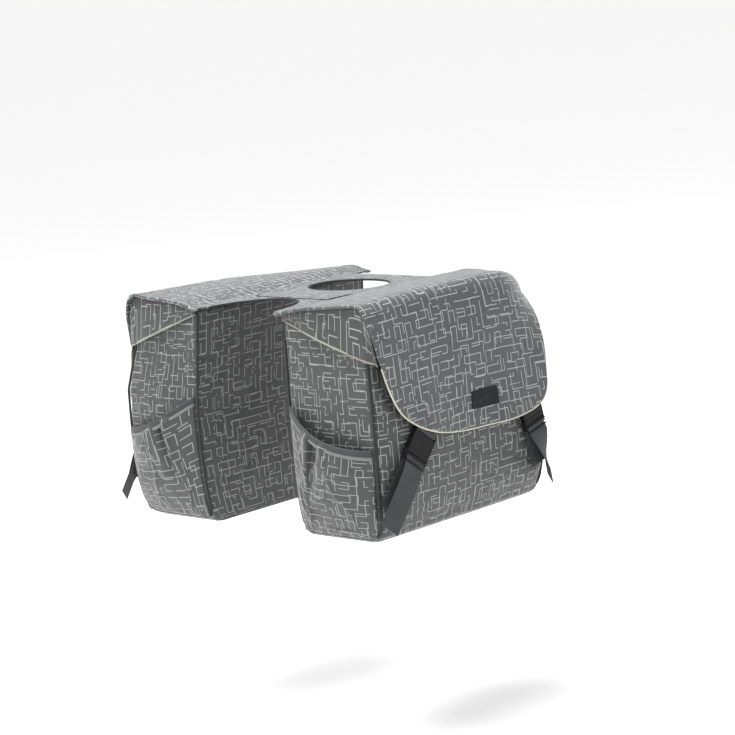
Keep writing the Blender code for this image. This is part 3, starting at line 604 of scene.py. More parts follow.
# %% [markdown]
# ## The bag's form
# Each bag is a stuffed box of cloth: its outer face and its ends swell between their seams, and it narrows at the
# bottom. Both bags share one form, sewn alike and mirrored. Hung up and half full, they have settled differently:
# both are slumped at the top of their front outer corner, the left roof has sunk towards the front, and the left bag
# leans. So every surface is first worked out for the right bag as sewn, and one function then moves it to its side
# and lets it settle. Ends are worked out at the rear, and a second function takes them to either end.

# %% Sizes and the settled cloth
RIGHT, LEFT = 1, -1
REAR, FRONT = -1, 1
SIDES = ((RIGHT, "right"), (LEFT, "left"))
ENDS = ((REAR, "rear"), (FRONT, "front"))
LENGTH, DEPTH, HEIGHT, GAP = 0.360, 0.167, 0.326, 0.176
BULGE, END_BULGE, SEAM, WALL, SEAT = 0.010, 0.006, 0.006, 0.002, 0.0006
SLUMP_FROM, SLUMP_REACH, SLUMP_DOWN, SLUMP_IN = 0.55, 0.115, 0.018, 0.030
SINK_FROM = {RIGHT: 0.55, LEFT: -0.30}
LEFT_TILT, LEFT_SAG = 0.012, 0.004
LEFT_LEAN = [
    # share of the height down, shift at the inner wall, shift at the outer wall
    (-0.050, 0.000, -0.024),
    (-0.015, 0.000, -0.023),
    (0.040, 0.001, -0.021),
    (0.200, 0.007, -0.017),
    (0.400, 0.015, 0.007),
    (0.500, 0.017, 0.007),
    (1.000, 0.014, 0.007),
]
SECTIONS = [
    # share of the height down, of the depth, of the bulge, of the length
    (0.030, 0.935, 0.05, 0.990),
    (0.200, 0.985, 0.35, 1.000),
    (0.380, 1.000, 0.80, 1.004),
    (0.560, 1.005, 1.00, 1.008),
    (0.750, 1.000, 0.95, 1.004),
    (0.860, 0.980, 0.75, 0.990),
    (0.935, 0.945, 0.50, 0.965),
    (0.985, 0.880, 0.25, 0.930),
    (1.000, 0.800, 0.05, 0.890),
]


def settled(points, side):
    """Points of the right bag as sewn, mirrored to that side and moved by the slump and the left bag's lean."""
    x, y, z = np.moveaxis(np.asarray(points, dtype=float), -1, 0)
    across = np.maximum(0, (x - GAP / 2) / DEPTH)
    along = y / (LENGTH / 2)
    high = np.clip(1 + z / SLUMP_REACH, 0, 1)
    front, sunk = [np.maximum(0, (along - start) / (1 - start)) ** 2 for start in (SLUMP_FROM, SINK_FROM[side])]
    drop = -z / HEIGHT
    x = x - SLUMP_IN * across * front * high**2
    z = z - SLUMP_DOWN * across**2 * sunk * high
    if side == LEFT:
        lean = np.array(LEFT_LEAN)
        x = x + np.interp(drop, lean[:, 0], lean[:, 1]) * (1 - across)
        x = x + np.interp(drop, lean[:, 0], lean[:, 2]) * across
        z = z - (LEFT_TILT * (along + 1) / 2 * across + LEFT_SAG * (1 - along**2)) * across * high
    return np.stack([side * x, y, z], axis=-1)


def settled_end(points, side, end):
    """Points of the right bag's rear end, taken to that end of that side's bag."""
    return settled(points * (1, -end, 1), side)


def section(z):
    """Shares of depth, bulge and length at a height."""
    return [level(SECTIONS, column, -np.asarray(z) / HEIGHT) for column in (1, 2, 3)]


def swell(s):
    """Height of a stuffed panel's swell at a share of its half width: the eighth-power superellipse."""
    return np.sqrt(1 - np.clip(np.abs(s), 0, 1) ** 8)


def face_x(y, z):
    """How far out the swollen outer face stands at a place."""
    depth, bulge, length = section(z)
    return GAP / 2 + DEPTH * depth + BULGE * bulge * swell(y / (LENGTH / 2 * length - SEAM))


def end_panel(share, z, out):
    """Points of the rear end panel, by the share of its width from the inner side: a parabola across."""
    depth, bulge, length = section(z)
    inner, outer = GAP / 2 - out, GAP / 2 + DEPTH * depth + out
    x = inner + SEAM + (outer - inner - 2 * SEAM) * share
    y = LENGTH / 2 * length + out + END_BULGE * bulge * (1 - (2 * share - 1) ** 2)
    return np.stack(np.broadcast_arrays(x, -y, z), axis=-1)


print("a bag is", LENGTH, "long,", DEPTH, "deep and", HEIGHT, "high")

# %% [markdown]
# ## Bodies
# A body is one closed skin: rings of points run down the outside from the mouth to the floor, and back up the inside.
# The cloth over the foam is slack, so soft dents and a few sharper creases press it inwards. The dents fade out at
# the seams, where the cloth is held.

# %% Make both bodies
END_SHARE = np.linspace(0, 1, 45)
FACE_SHARE = np.sin(np.linspace(-math.pi / 2, math.pi / 2, 101))
BACK_SHARE = np.linspace(1, -1, 61)
CROWN = 0.017
FLAP_THICK = 0.0024
DENT_DEPTH, CREASE_DEPTH, WRINKLE_DEPTH = 0.0011, 0.0016, 0.0009  # of the slack cloth
DENT_SIZE, CREASE_SIZE, WRINKLE_SIZE = 0.075, 0.085, 0.040
HELD_BAND, MOUTH_BAND = 0.03, 0.02  # over which the dents fade out, and above which there are none
MEASURED_RING = 60  # the ring whose length the print goes by
ROOF = [
    # share of the depth from the inner wall, share of the crown
    (-0.050, 0.10),
    (0.010, 0.12),
    (0.100, 0.30),
    (0.220, 0.50),
    (0.400, 0.66),
    (0.600, 0.80),
    (0.780, 0.92),
    (0.890, 1.00),
    (0.960, 0.88),
    (1.010, 0.35),
]


def rings(z, out):
    """Plans of the right bag at some heights, as rows of points: the rear end, the outer face, the front end, the
    inner wall."""
    depth, bulge, length = (column[:, None] for column in section(z))
    outer = GAP / 2 + DEPTH * depth + out
    half = LENGTH / 2 * length + out
    end = end_panel(END_SHARE, z[:, None], out)
    face_y = (half - SEAM) * FACE_SHARE
    face = np.stack(np.broadcast_arrays(outer + BULGE * bulge * swell(FACE_SHARE), face_y, z[:, None]), axis=-1)
    back = np.stack(np.broadcast_arrays(GAP / 2 - out, (half - SEAM) * BACK_SHARE, z[:, None]), axis=-1)
    return np.concatenate([end, face, end[:, ::-1] * (1, -1, 1), back], axis=1)


def body(side, word):
    heights = -HEIGHT * np.linspace(SECTIONS[0][0], 1.0, 110)
    outside = rings(heights, 0.0)
    inside = rings(heights[::8] * (1 - WALL / HEIGHT), -WALL)
    rims = []
    for ring in (outside[0], inside[0]):
        rim = ring.copy()
        rim[:, 2] = level(ROOF, 1, (rim[:, 0] - GAP / 2) / DEPTH) * CROWN - FLAP_THICK - 2 * SEAT
        rims.append(rim[None])
    middle = outside[-1].mean(axis=0)
    floor_shares = np.linspace(0.92, 0.08, 9)[:, None, None]
    under = middle + (outside[-1] - middle) * floor_shares
    above = inside[-1].mean(axis=0) + (inside[-1] - inside[-1].mean(axis=0)) * floor_shares[::2]
    grid = np.concatenate([under[::-1], outside[::-1], rims[0], rims[1], inside, above])
    around = lengths(outside[MEASURED_RING])
    total = around[-1] + float(np.linalg.norm(outside[MEASURED_RING][0] - outside[MEASURED_RING][-1]))
    down = np.concatenate([[0], np.cumsum(np.linalg.norm(np.diff(grid, axis=0), axis=2).mean(axis=1))])
    u, v = np.meshgrid(around, down)
    z = grid[..., 2]
    held = np.clip(np.minimum((z + HEIGHT) / HELD_BAND, (-z - MOUTH_BAND) / HELD_BAND), 0, 1)
    last_outside = len(under) + len(outside)
    held[last_outside:] = 0
    seed = 20 + side
    push = DENT_DEPTH * (1 + dents(u, v, DENT_SIZE, seed))
    push = push + CREASE_DEPTH * creases(u * 0.6 + v * 0.35, v, CREASE_SIZE, seed + 3, 9)
    push += WRINKLE_DEPTH * creases(u, v * 1.4, WRINKLE_SIZE, seed + 7, 7)
    grid = grid - normals(grid, closed=True) * (push * held * outward_sign(grid))[..., None]
    poles = np.stack([grid[0].mean(axis=0), grid[-1].mean(axis=0)])
    number = np.arange(u.size).reshape(u.shape)
    points = settled(np.concatenate([grid.reshape(-1, 3), poles]), side)
    uv = np.concatenate([np.stack([u, v], -1).reshape(-1, 2), [[0, 0], [0, v.max()]]])
    made = piece("bag_body_" + word, points, capped(number), uv, CLOTH, ["body_" + word], total)


def outward_sign(grid):
    """1 or -1, so that a closed grid's normals times it point away from the bag's middle."""
    normal = normals(grid, closed=True)
    middle = grid.reshape(-1, 3).mean(axis=0)
    return np.sign(((grid - middle) * normal).sum(axis=2).sum())


for side, word in SIDES:
    body(side, word)

# %% [markdown]
# ## Seams and floor panel
# Each end panel is joined to the faces by a seam whose turned edges stand up as a narrow dark welt. It runs down one
# corner, along under the panel and up the other corner. A separate panel closes the floor.

# %% Make the welts and the floor panels
WELT_RADIUS = 0.0019


def welt_path():
    """The rear end panel's outline, from the outer corner's top, round under it, to the inner corner's top."""
    z = -HEIGHT * np.linspace(0.02, 0.93, 40)
    depth, bulge, length = section(z)
    y = -(LENGTH / 2 * length - SEAM * 0.42)
    outer = np.stack([GAP / 2 + DEPTH * depth - SEAM * 0.42, y, z], axis=-1)
    inner = np.stack([np.full(len(z), GAP / 2 + SEAM * 0.42), y, z], axis=-1)
    low = -HEIGHT * 0.975
    share = np.linspace(0.95, 0.05, 12)
    under = end_panel(share, np.full(12, low), -0.001)
    return through(np.concatenate([outer, under, inner[::-1]]), np.linspace(0, 1, 260))


for side, word in SIDES:
    for end, place in ENDS:
        cord_along(f"welt_{place}_{word}", settled_end(welt_path(), side, end), WELT_RADIUS, WELT)
    s, t = np.meshgrid(np.linspace(-1, 1, 40), np.linspace(-1, 1, 70))
    round_off = 1 - 0.10 * (s * t) ** 6
    depth, bulge, length = section(-HEIGHT * 0.992)
    x = GAP / 2 + DEPTH * depth / 2 + (DEPTH * depth / 2 - 0.004) * s * round_off
    y = (LENGTH / 2 * length - 0.002) * t * round_off
    z = -HEIGHT - 0.0005 - 0.0012 * (1 - s**2) * (1 - t**2) + 0.004 * np.maximum(np.abs(s), np.abs(t)) ** 8
    sheet("floor_panel_" + word, settled(np.stack([x, y, z], -1), side), 0.0018, CLOTH)
# %% [markdown]
# ## Flaps
# A flap is one sheet that is sewn to the bridge, lies over the bag's roof and drops over its outer face as a stiff
# apron. Its free edge is a shallow curve that is lower towards the front. The sheet is drawn through a coarse grid of
# points: roof stations, then rows that share out the way from the shoulder to the free edge. A smooth surface through
# them is then dented, and the apron lifts where the buckles lie under it.

# %% Make the flaps
ROOF_SWELL = 0.004
FLAP_DROP, FLAP_OVERHANG = 0.190, 0.0035
BUCKLE_DROP, BUCKLE_AT = 0.213, {REAR: 0.3445 * LENGTH, FRONT: 0.395 * LENGTH}
CORNER_LIFT, LIFT_FROM, LIFT_DROP = 0.0140, 0.45, 0.892 * BUCKLE_DROP
APRON_STATIONS = [
    # share of the drop, share of the depth
    (0.00, 1.020),
    (0.04, 1.040),
    (0.10, 1.060),
    (0.34, 1.074),
    (1.00, 1.076),
]
APRON_EDGE = [
    # place along the half length, share of the drop
    (-0.940, 0.375),
    (-0.895, 0.530),
    (-0.825, 0.685),
    (-0.745, 0.775),
    (-0.590, 0.870),
    (-0.430, 0.930),
    (-0.220, 0.975),
    (0.030, 1.000),
    (0.240, 1.000),
    (0.440, 0.995),
    (0.640, 0.980),
    (0.790, 0.950),
    (0.890, 0.895),
    (0.940, 0.820),
    (0.955, 0.740),
]
APRON_ROWS = (0.04, 0.20, 0.40, 0.60, 0.80, 0.92, 1.0)
FLAP_ROWS, FLAP_COLUMNS = 150, 170
ROOF_WAVE, APRON_WAVE, APRON_CREASE = 0.0007, 0.0006, 0.0006


def apron_x(y, z):
    """The apron's middle surface: a board that stands off by a square law of its drop over the buckles."""
    rows = np.array(APRON_STATIONS)
    lift = CORNER_LIFT * (z / LIFT_DROP) ** 2 * np.minimum(1, np.abs(y) / (LENGTH / 2) / LIFT_FROM) ** 2
    return GAP / 2 + DEPTH * np.interp(-z / FLAP_DROP, rows[:, 0], rows[:, 1]) + lift


def flap_grid(rows, columns):
    """The flap's middle surface: rows from the bridge to the free edge, columns from the rear to the front."""
    edge = np.array(APRON_EDGE) * (LENGTH / 2, -FLAP_DROP)
    t = np.linspace(-1, 1, len(edge))
    half = LENGTH / 2 + FLAP_OVERHANG
    across, rise = np.array(ROOF)[:, :1], np.array(ROOF)[:, 1:]
    dome = ROOF_SWELL * np.clip(across / 0.5, 0, 1) * (1 - t**2)
    roof = np.stack(np.broadcast_arrays(GAP / 2 + DEPTH * across, half * t, CROWN * rise + dome), axis=-1)
    share = np.array(APRON_ROWS)[:, None]
    y = half * t * (1 - share) + edge[:, 0] * share
    z = edge[:, 1] * share
    coarse = np.concatenate([roof, np.stack([apron_x(y, z), y, z], axis=-1)])
    fine = through(coarse, np.linspace(0, 1, rows))
    return np.moveaxis(through(np.moveaxis(fine, 1, 0), np.linspace(0, 1, columns)), 0, 1)


def flap_form(side):
    """The flap dented: broad waves over the roof, and shallow folds that run down the apron."""
    grid = flap_grid(FLAP_ROWS, FLAP_COLUMNS)
    v, u = np.meshgrid(np.linspace(0, 0.38, FLAP_ROWS), np.linspace(0, LENGTH, FLAP_COLUMNS), indexing="ij")
    roof = np.clip((0.20 - v) / 0.04, 0, 1)
    free = np.clip((v - 0.02) / 0.03, 0, 1)
    wave = ROOF_WAVE * (dents(u, v, 0.07, 31 + side) + 0.8) * roof
    wave += APRON_WAVE * (dents(u, v * 0.6, 0.06, 37 + side) + 0.8) * (1 - roof)
    wave += APRON_CREASE * creases(u, v * 0.7 + u * 0.3, 0.07, 41 + side, 8) * (1 - roof)
    normal = normals(grid)
    inwards = -np.sign(normal[FLAP_ROWS // 2, FLAP_COLUMNS // 2, 0])
    return grid - normal * (wave * free)[..., None] * inwards


LIP_END_DROP = 0.066  # where the rolled lip ends and the piping of the free edge begins
PIPING_RADIUS = 0.0012
LIP_RADIUS, LIP_THINNING = 0.0029, 0.0013  # at the bridge, and how much less at the shoulder
flap_forms = {side: flap_form(side) for side, _ in SIDES}
for side, word in SIDES:
    grid = flap_forms[side]
    fall = np.concatenate([np.zeros((1, grid.shape[1])),
                           np.cumsum(np.hypot(*np.moveaxis(np.diff(grid[..., ::2], axis=0), -1, 0)), axis=0)])
    flat_cut = np.stack([grid[..., 1] + 0.3, fall], axis=-1)
    made = sheet("flap_cloth_" + word, settled(grid, side), FLAP_THICK, LIT_FLAP_CLOTH, ["flap_" + word],
                 flat_cut)

# %% [markdown]
# ## Lips and piping
# Over each ear the flap's end is rolled into a soft lip, thick at the bridge and thin at the shoulder. Below it a
# beige piping runs round the apron's free edge. Both are cords that follow the flap's own edge, so they stay on it
# wherever the cloth has settled.

# %% Make the lips and the piping
def edge_below(grid, column, drop):
    """The part of the flap's end edge above that drop, and the part below it."""
    edge = grid[:, column]
    first = int(np.argmax(edge[:, 2] < -drop))
    return edge[:first], edge[first:]


for side, word in SIDES:
    grid = flap_forms[side]
    for column, (end, place) in zip((0, -1), ENDS):
        upper, _ = edge_below(grid, column, LIP_END_DROP)
        share = np.linspace(0, 1, 140)
        path = through(upper, share)
        path = path + np.array([0.0, end * 0.0006, 0.0])
        path[:, 2] -= 0.0012 * (1 - share)
        radius = LIP_RADIUS - LIP_THINNING * share**1.5
        radius = radius * np.clip(np.minimum(share, 1 - share) / 0.02, 0.35, 1) ** 0.5
        cord_along(f"flap_lip_{place}_{word}", settled(path, side), radius, LIT_FLAP_CLOTH)
    _, front_edge = edge_below(grid, -1, LIP_END_DROP)
    edge = np.concatenate([grid[-1], front_edge[-2::-1]])
    edge = through(edge[::6], np.linspace(0, 1, 320))
    run = np.gradient(edge, axis=0)
    outward = unit(np.stack([np.zeros(len(edge)), run[:, 2], -run[:, 1]], axis=-1))
    path = settled(edge + outward * PIPING_RADIUS * 0.8, side)
    cord_along("flap_piping_cord_" + word, path, PIPING_RADIUS, PIPING, ["flap_piping_" + word])
# %% [markdown]
# ## Ears
# An ear closes the gap under the flap's end: it hangs from the flap's edge over the end panel and has a straight
# sloping hem, bound in beige. Its columns start at the flap's edge and run down to the hem. Towards the shoulder they
# turn round the corner and tuck in under the apron.

# %% Make the ears and their hems
EAR_THICK, EAR_TIP, EAR_DROP, EAR_STAND, EAR_TUCK, HEM_RADIUS = 0.0015, 0.006, 0.065, 0.004, 0.0015, 0.0010
EAR_SLACK = {REAR: 0.0, FRONT: 0.0060}


def ear_grid(end):
    """The ear as sewn, turned round to the rear: each column runs from under the flap's edge down to the hem."""
    edge = flap_grid(FLAP_ROWS, len(APRON_EDGE))[:, 0 if end == REAR else -1] * (1, -end, 1)
    first = int(np.argmax(edge[:, 0] > GAP / 2 + 0.003))
    last = int(np.argmax(edge[:, 2] < -EAR_DROP))
    low = edge[last]
    edge = through(edge[first:last + 1], np.linspace(0, 1, 90))
    run = np.gradient(edge, axis=0)
    inward = unit(np.stack([run[:, 2], -run[:, 0]], axis=-1))
    share = np.linspace(0, 1, len(edge))
    inset = FLAP_THICK / 2 + 2 * SEAT + EAR_SLACK[end] + (HEM_RADIUS + SEAT) * share
    x, top = edge[:, 0] + inward[:, 0] * inset, edge[:, 2] + inward[:, 1] * inset
    across = (x - GAP / 2) / DEPTH
    hem = -EAR_TIP - (EAR_DROP - EAR_TIP) * across / APRON_STATIONS[-1][1]
    down = np.linspace(0, 1, 36)[:, None]
    z = top + (np.minimum(hem, top - 0.001) - top) * down
    seam = GAP / 2 + DEPTH * section(z)[0] + SEAM / 3
    round_corner = np.clip((x - seam) / (low[0] - seam), 0, 1)
    panel_share = np.clip((x - GAP / 2 - SEAM) / (DEPTH * section(z)[0] - 2 * SEAM), 0, 1)
    on_panel = -end_panel(panel_share, z, SEAT + EAR_THICK / 2)[..., 1]
    on_panel = on_panel + EAR_STAND * down * np.sin(math.pi * np.minimum(1, across))
    in_apron = np.interp(-z, -edge[:, 2], -edge[:, 1]) - EAR_TUCK
    y = -on_panel + (on_panel - in_apron) * round_corner
    return np.stack(np.broadcast_arrays(x, y, z), axis=-1)


for side, word in SIDES:
    for end, place in ENDS:
        grid = ear_grid(end)
        u, v = np.moveaxis(cloth_measures(grid), -1, 0)
        grid[..., 1] -= 0.0007 * (1 + dents(u, v, 0.03, 50 + side + 3 * end)) * np.clip(v / 0.01, 0, 1)
        ear = sheet(f"ear_cloth_{place}_{word}", settled_end(grid, side, end), EAR_THICK, CLOTH,
                    [f"ear_{place}_{word}"])
        hem = grid[-1] - (0, 0, HEM_RADIUS)
        share = np.linspace(0, 1, 160)
        radius = HEM_RADIUS * (0.75 + 0.9 * np.sin(math.pi * share) ** 1.5)
        cord_along(f"ear_hem_cord_{place}_{word}", settled_end(through(hem, share), side, end), radius, HEM,
                   [f"ear_hem_{place}_{word}"])

# %% [markdown]
# ## Pockets
# Each end carries an open pocket. Its mouth slopes down to the outer seam, sags and gapes, and is bound with a stiff
# tape. The cloth below is wider than the panel it is sewn to, so it has one deep knife pleat and softer folds. The
# surface is the end panel pushed outwards: most at the mouth, nothing at the seams.

# %% Make the pockets and their tapes
POCKET_THICK, POCKET_STAND, POCKET_END = 0.0015, 0.018, 0.972
POCKET_INNER_DROP, POCKET_OUTER_DROP, POCKET_SAG = 0.134, 0.188, 0.012
POCKET_MARGIN = 0.015  # share of the panel's width left at each seam
TAPE_THICK = 0.0026
PLEAT_DEPTH, PLEAT_AT, PLEAT_LEAN, PLEAT_REACH = 0.0105, 0.38, 0.17, 0.62
SLACK_CREASE, SLACK_DENT, LOW_CREASE = 0.0022, 0.0013, 0.0030
PLEAT_FOLD = [
    # share of the pocket's width, share of the pleat's depth
    (0.00, 0.00),
    (0.19, 0.00),
    (0.27, 0.20),
    (0.33, 0.52),
    (0.355, 0.40),
    (0.380, -0.75),
    (0.405, -1.00),
    (0.430, -0.95),
    (0.455, -0.35),
    (0.49, 0.12),
    (0.60, 0.05),
    (0.70, 0.00),
    (1.00, 0.00),
]


def mouth_z(share):
    """Height of the pocket's mouth: a straight slope that sags by a half sine."""
    straight = POCKET_INNER_DROP + (POCKET_OUTER_DROP - POCKET_INNER_DROP) * share
    return -straight - POCKET_SAG * np.sin(math.pi * share)


def pocket_stand(share, down):
    """How far the pocket stands off the panel: a blunt half sine across, a quarter cosine down."""
    pull = np.sin(math.pi * np.clip(share, 0, 1)) ** 0.7
    return POCKET_STAND * pull * np.cos(math.pi / 2 * np.clip(down, 0, 1) ** 1.3)


def on_pocket(share, z, down, extra):
    """Points of the pocket's middle surface, with that much extra stand."""
    point = end_panel(POCKET_MARGIN + (1 - 2 * POCKET_MARGIN) * share, z, SEAT + POCKET_THICK / 2)
    point[..., 1] -= pocket_stand(share, down) + extra
    return point


def pocket_grid(seed):
    """The pocket's panel, with the pleat that leans inwards as it fades, and slack folds from mouth to floor."""
    share, drop = np.meshgrid(np.linspace(0, 1, 140), np.linspace(0, 1, 120))
    top, bottom = mouth_z(share) - 0.002, -HEIGHT * POCKET_END
    z = top + (bottom - top) * drop
    fade = np.clip(1 - drop / PLEAT_REACH, 0, 1)
    lean = np.interp(share, [0, PLEAT_AT, 1], [0, 1, 0])
    place = share - PLEAT_LEAN * lean * np.minimum(1, drop / PLEAT_REACH)
    fold = PLEAT_DEPTH * level(PLEAT_FOLD, 1, share) * fade**0.7 * np.clip(drop / 0.05, 0.35, 1)
    held = np.clip(np.minimum(share, 1 - share) / 0.08, 0, 1) * np.clip((1 - drop) / 0.06, 0, 1)
    u, v = share * 0.17, drop * 0.16
    slack = SLACK_CREASE * creases(u - 0.3 * v, v * 0.45, 0.052, seed, 8)
    slack = slack - SLACK_DENT * dents(u, v, 0.04, seed + 1)
    low = np.clip((drop - 0.45) / 0.3, 0, 1)
    slack += LOW_CREASE * creases(u * 0.4, v + 0.35 * u, 0.050, seed + 2, 9) * low
    return on_pocket(place, z, drop, fold + slack * held * np.clip(drop / 0.1, 0, 1))


for side, word in SIDES:
    for end, place in ENDS:
        grid = pocket_grid(60 + 2 * side + 5 * end)
        pocket = sheet(f"pocket_cloth_{place}_{word}", settled_end(grid, side, end), POCKET_THICK, CLOTH,
                       [f"pocket_{place}_{word}"])
        share, drop = np.meshgrid(np.linspace(0, 1, 120), np.linspace(0, 1, 14))
        top = mouth_z(share)
        z = top + 0.0006 - TAPE_WIDTH * drop
        down = (top - z) / (top + HEIGHT * POCKET_END)
        bead = 0.0007 * np.exp(-((drop - 0.82) / 0.12) ** 2) - 0.0004 * np.exp(-((drop - 0.62) / 0.06) ** 2)
        strip = on_pocket(share, z, down, bead)
        measures = np.stack([share * 0.19, drop * TAPE_WIDTH], axis=-1)
        sheet(f"pocket_binding_{place}_{word}", settled_end(strip, side, end), TAPE_THICK, TAPE,
              [f"pocket_tape_{place}_{word}"], measures)
# %% [markdown]
# ## Buckles and webbing
# The buckles are hard moulded parts, so the frame's own solids stay. Their edges get a small round and their plastic
# a finish. The webbing is a strip that keeps its width and thickness: a path in the buckle's upright plane, with a
# rounded flat section carried along it. It is sewn to the bag's lower corner, wraps the buckle's lower bar from
# behind and hangs down as a loose tail with a folded end.

# %% Round the buckles and make the straps
STRAP_WIDTH, STRAP_THICK, STRAP_SPLAY = 0.038, 0.0016, math.radians(2)
STRAP_LEAN = {REAR: math.radians(38), FRONT: math.radians(13)}
BUCKLE_THICK, PLUG_BASE, PLUG_BAR, SOCKET_LENGTH, SOCKET_BAR = 0.009, 0.016, 0.005, 0.034, 0.004
BUCKLE_STAND, TOUCH = 0.0056, 0.0003
ANCHOR_DROP, TAIL_DROP, TAIL_BOW = 0.272, 0.295, 0.004
HEM_LENGTH = 0.020  # of the tail's folded end
TAIL_TWIST = {  # of the loose tails: the front ones and the left rear one have turned edge on
    (RIGHT, REAR): 0.0, (LEFT, REAR): math.radians(-30),
    (RIGHT, FRONT): math.radians(48), (LEFT, FRONT): math.radians(48),
}

for name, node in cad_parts.items():
    if name.startswith("buckle_"):
        weld = node.modifiers.new("weld", "WELD")
        weld.merge_threshold = 0.00001
        edges = node.modifiers.new("edges", "BEVEL")
        edges.width, edges.segments, edges.limit_method, edges.angle_limit = 0.0005, 2, "ANGLE", math.radians(40)
        node.data.materials.clear()
        node.data.materials.append(PLASTIC)


def buckle_axes(side, end):
    """Rows: across the strap, up along it, away from the bag; and the place of the plug's lower bar."""
    y, z = BUCKLE_AT[end] * end, -BUCKLE_DROP
    out = np.array([math.cos(STRAP_SPLAY), end * math.sin(STRAP_SPLAY), 0.0])
    up = np.array([0, 0, math.cos(STRAP_LEAN[end])])
    up = up + np.array([out[1], -out[0], 0.0]) * (end * math.sin(STRAP_LEAN[end]))
    across = np.cross(up, out)
    origin = np.array([float(face_x(y, np.array([z]))[0]) + BUCKLE_STAND, y, z])
    return np.stack([across, up, out]) * (side, 1, 1), settled(origin, side)


def webbing_strip(name, path, side, end, replaced, hem=0.0, twist=0.0):
    """Webbing along a path of (up, out) points in the buckle's plane: a flat section with round edges, which turns
    about the path by twist from just past its middle."""
    path = through(np.array(path), np.linspace(0, 1, 150))
    run = unit(np.gradient(path, axis=0))
    normal = np.stack([-run[:, 1], run[:, 0]], axis=-1)
    length = lengths(path)
    turn = np.linspace(0, 2 * math.pi, 41)[:-1]
    flat = np.sign(np.cos(turn)) * np.abs(np.cos(turn)) ** 0.22 * STRAP_WIDTH / 2
    thick = np.sign(np.sin(turn)) * np.abs(np.sin(turn)) ** 0.45 * STRAP_THICK / 2
    doubled = 1 + 0.55 * np.clip((length - length[-1] + hem) / 0.0008, 0, 1) * (hem > 0)
    ridge = thick[None] * doubled[:, None]
    local = np.stack([np.broadcast_to(flat, ridge.shape), path[:, :1] + normal[:, :1] * ridge,
                      path[:, 1:] + normal[:, 1:] * ridge], axis=-1)
    turned = twist * np.clip((length / length[-1] - 0.55) / 0.30, 0, 1)[:, None]
    lean_out = local[..., 0] * np.sin(turned)
    local = np.stack([local[..., 0] * np.cos(turned), local[..., 1] + normal[:, :1] * lean_out,
                      local[..., 2] + normal[:, 1:] * lean_out], axis=-1)
    rotation, origin = buckle_axes(side, end)
    points = (local @ rotation + origin).reshape(-1, 3)
    number = np.arange(len(points)).reshape(len(path), len(turn))
    middles = np.stack([points[number[0]].mean(axis=0), points[number[-1]].mean(axis=0)])
    from_end = np.broadcast_to((length - length[-1])[:, None], ridge.shape)
    uv = np.stack([np.broadcast_to(flat, ridge.shape), from_end], axis=-1).reshape(-1, 2)
    uv = np.concatenate([uv, [[0, -length[-1]], [0, 0]]])
    return piece(name, np.concatenate([points, middles]), capped(number), uv, WEBBING, replaced)


def around_bar(edge, turn_up):
    """A path round a bar's edge, from behind it to before it."""
    lift = BUCKLE_THICK * 0.2 + STRAP_THICK / 2 + 2 * TOUCH
    bend = (STRAP_THICK / 2 + 2.5 * TOUCH) * (1 if turn_up else -1)
    return [(edge, -lift), (edge + bend, -lift * 0.62), (edge + bend, lift * 0.62), (edge, lift)]


def face_above(end, up):
    """How far out of the buckle's plane the body's face stands, at a place up the strap's middle."""
    rotation, origin = buckle_axes(RIGHT, end)
    place = origin + rotation[1] * up
    hit = np.array([float(face_x(place[1], np.array([place[2]]))[0]), place[1], place[2]])
    return float((hit - origin) @ rotation[2])


def lower_path(end):
    """Up from the sewn end, round the plug's bar, and down the loose tail."""
    rise = math.cos(STRAP_LEAN[end])
    anchor_up, tail_up = -(ANCHOR_DROP - BUCKLE_DROP) / rise, -(TAIL_DROP - BUCKLE_DROP) / rise
    seated = SEAT + STRAP_THICK / 2 + 0.0024
    anchor, above = face_above(end, anchor_up) + seated, face_above(end, anchor_up * 0.88) + seated + 0.0005
    turn = around_bar(PLUG_BAR, True)
    behind = [(anchor_up, anchor), (anchor_up * 0.88, above), (anchor_up * 0.55, (above + turn[0][1]) * 0.55),
              (anchor_up * 0.25, turn[0][1] * 1.15), (0.0, turn[0][1])]
    share = np.array([0.0, 0.1, 0.25, 0.42, 0.6, 0.78, 0.93, 1.0])
    bow = TAIL_BOW * np.sin(math.pi * share**0.7)
    tail = np.stack([tail_up * share - 0.0005, turn[-1][1] + bow + 0.004 * share], axis=-1)
    return behind + turn + tail.tolist()


def upper_path(end):
    """Down from under the apron and round the socket's bar."""
    rotation, origin = buckle_axes(RIGHT, end)
    top, lead = PLUG_BASE + TOUCH + SOCKET_LENGTH, 0.016
    turn = around_bar(top - SOCKET_BAR, False)
    reach = 1.0
    for across in (-STRAP_WIDTH / 2, 0.0, STRAP_WIDTH / 2):
        sewn = origin + rotation[0] * across + rotation[1] * (top + lead)
        under = np.array([float(apron_x(sewn[1], sewn[2])) - FLAP_THICK / 2 - SEAT - 2 * STRAP_THICK, *sewn[1:]])
        reach = min(reach, float((under - origin) @ rotation[2]))
    behind = [(top + 0.010, turn[0][1] + 0.0002), (top + 0.002, turn[0][1])]
    front = [(top + 0.002, turn[-1][1]), (top + 0.008, turn[-1][1] * 0.8 + reach * 0.2),
             (top + 0.015, turn[-1][1] * 0.2 + reach * 0.8), (top + lead, reach)]
    return behind + turn + front


BAR_AT, BAR_RADIUS = (-0.0035, 0.0060), 0.0015  # the bars that grip the webbing, before the plug's own bar
BAR_CROWN = 0.006
BAR_OUT = BUCKLE_THICK * 0.2 + STRAP_THICK + 2 * TOUCH + BAR_RADIUS

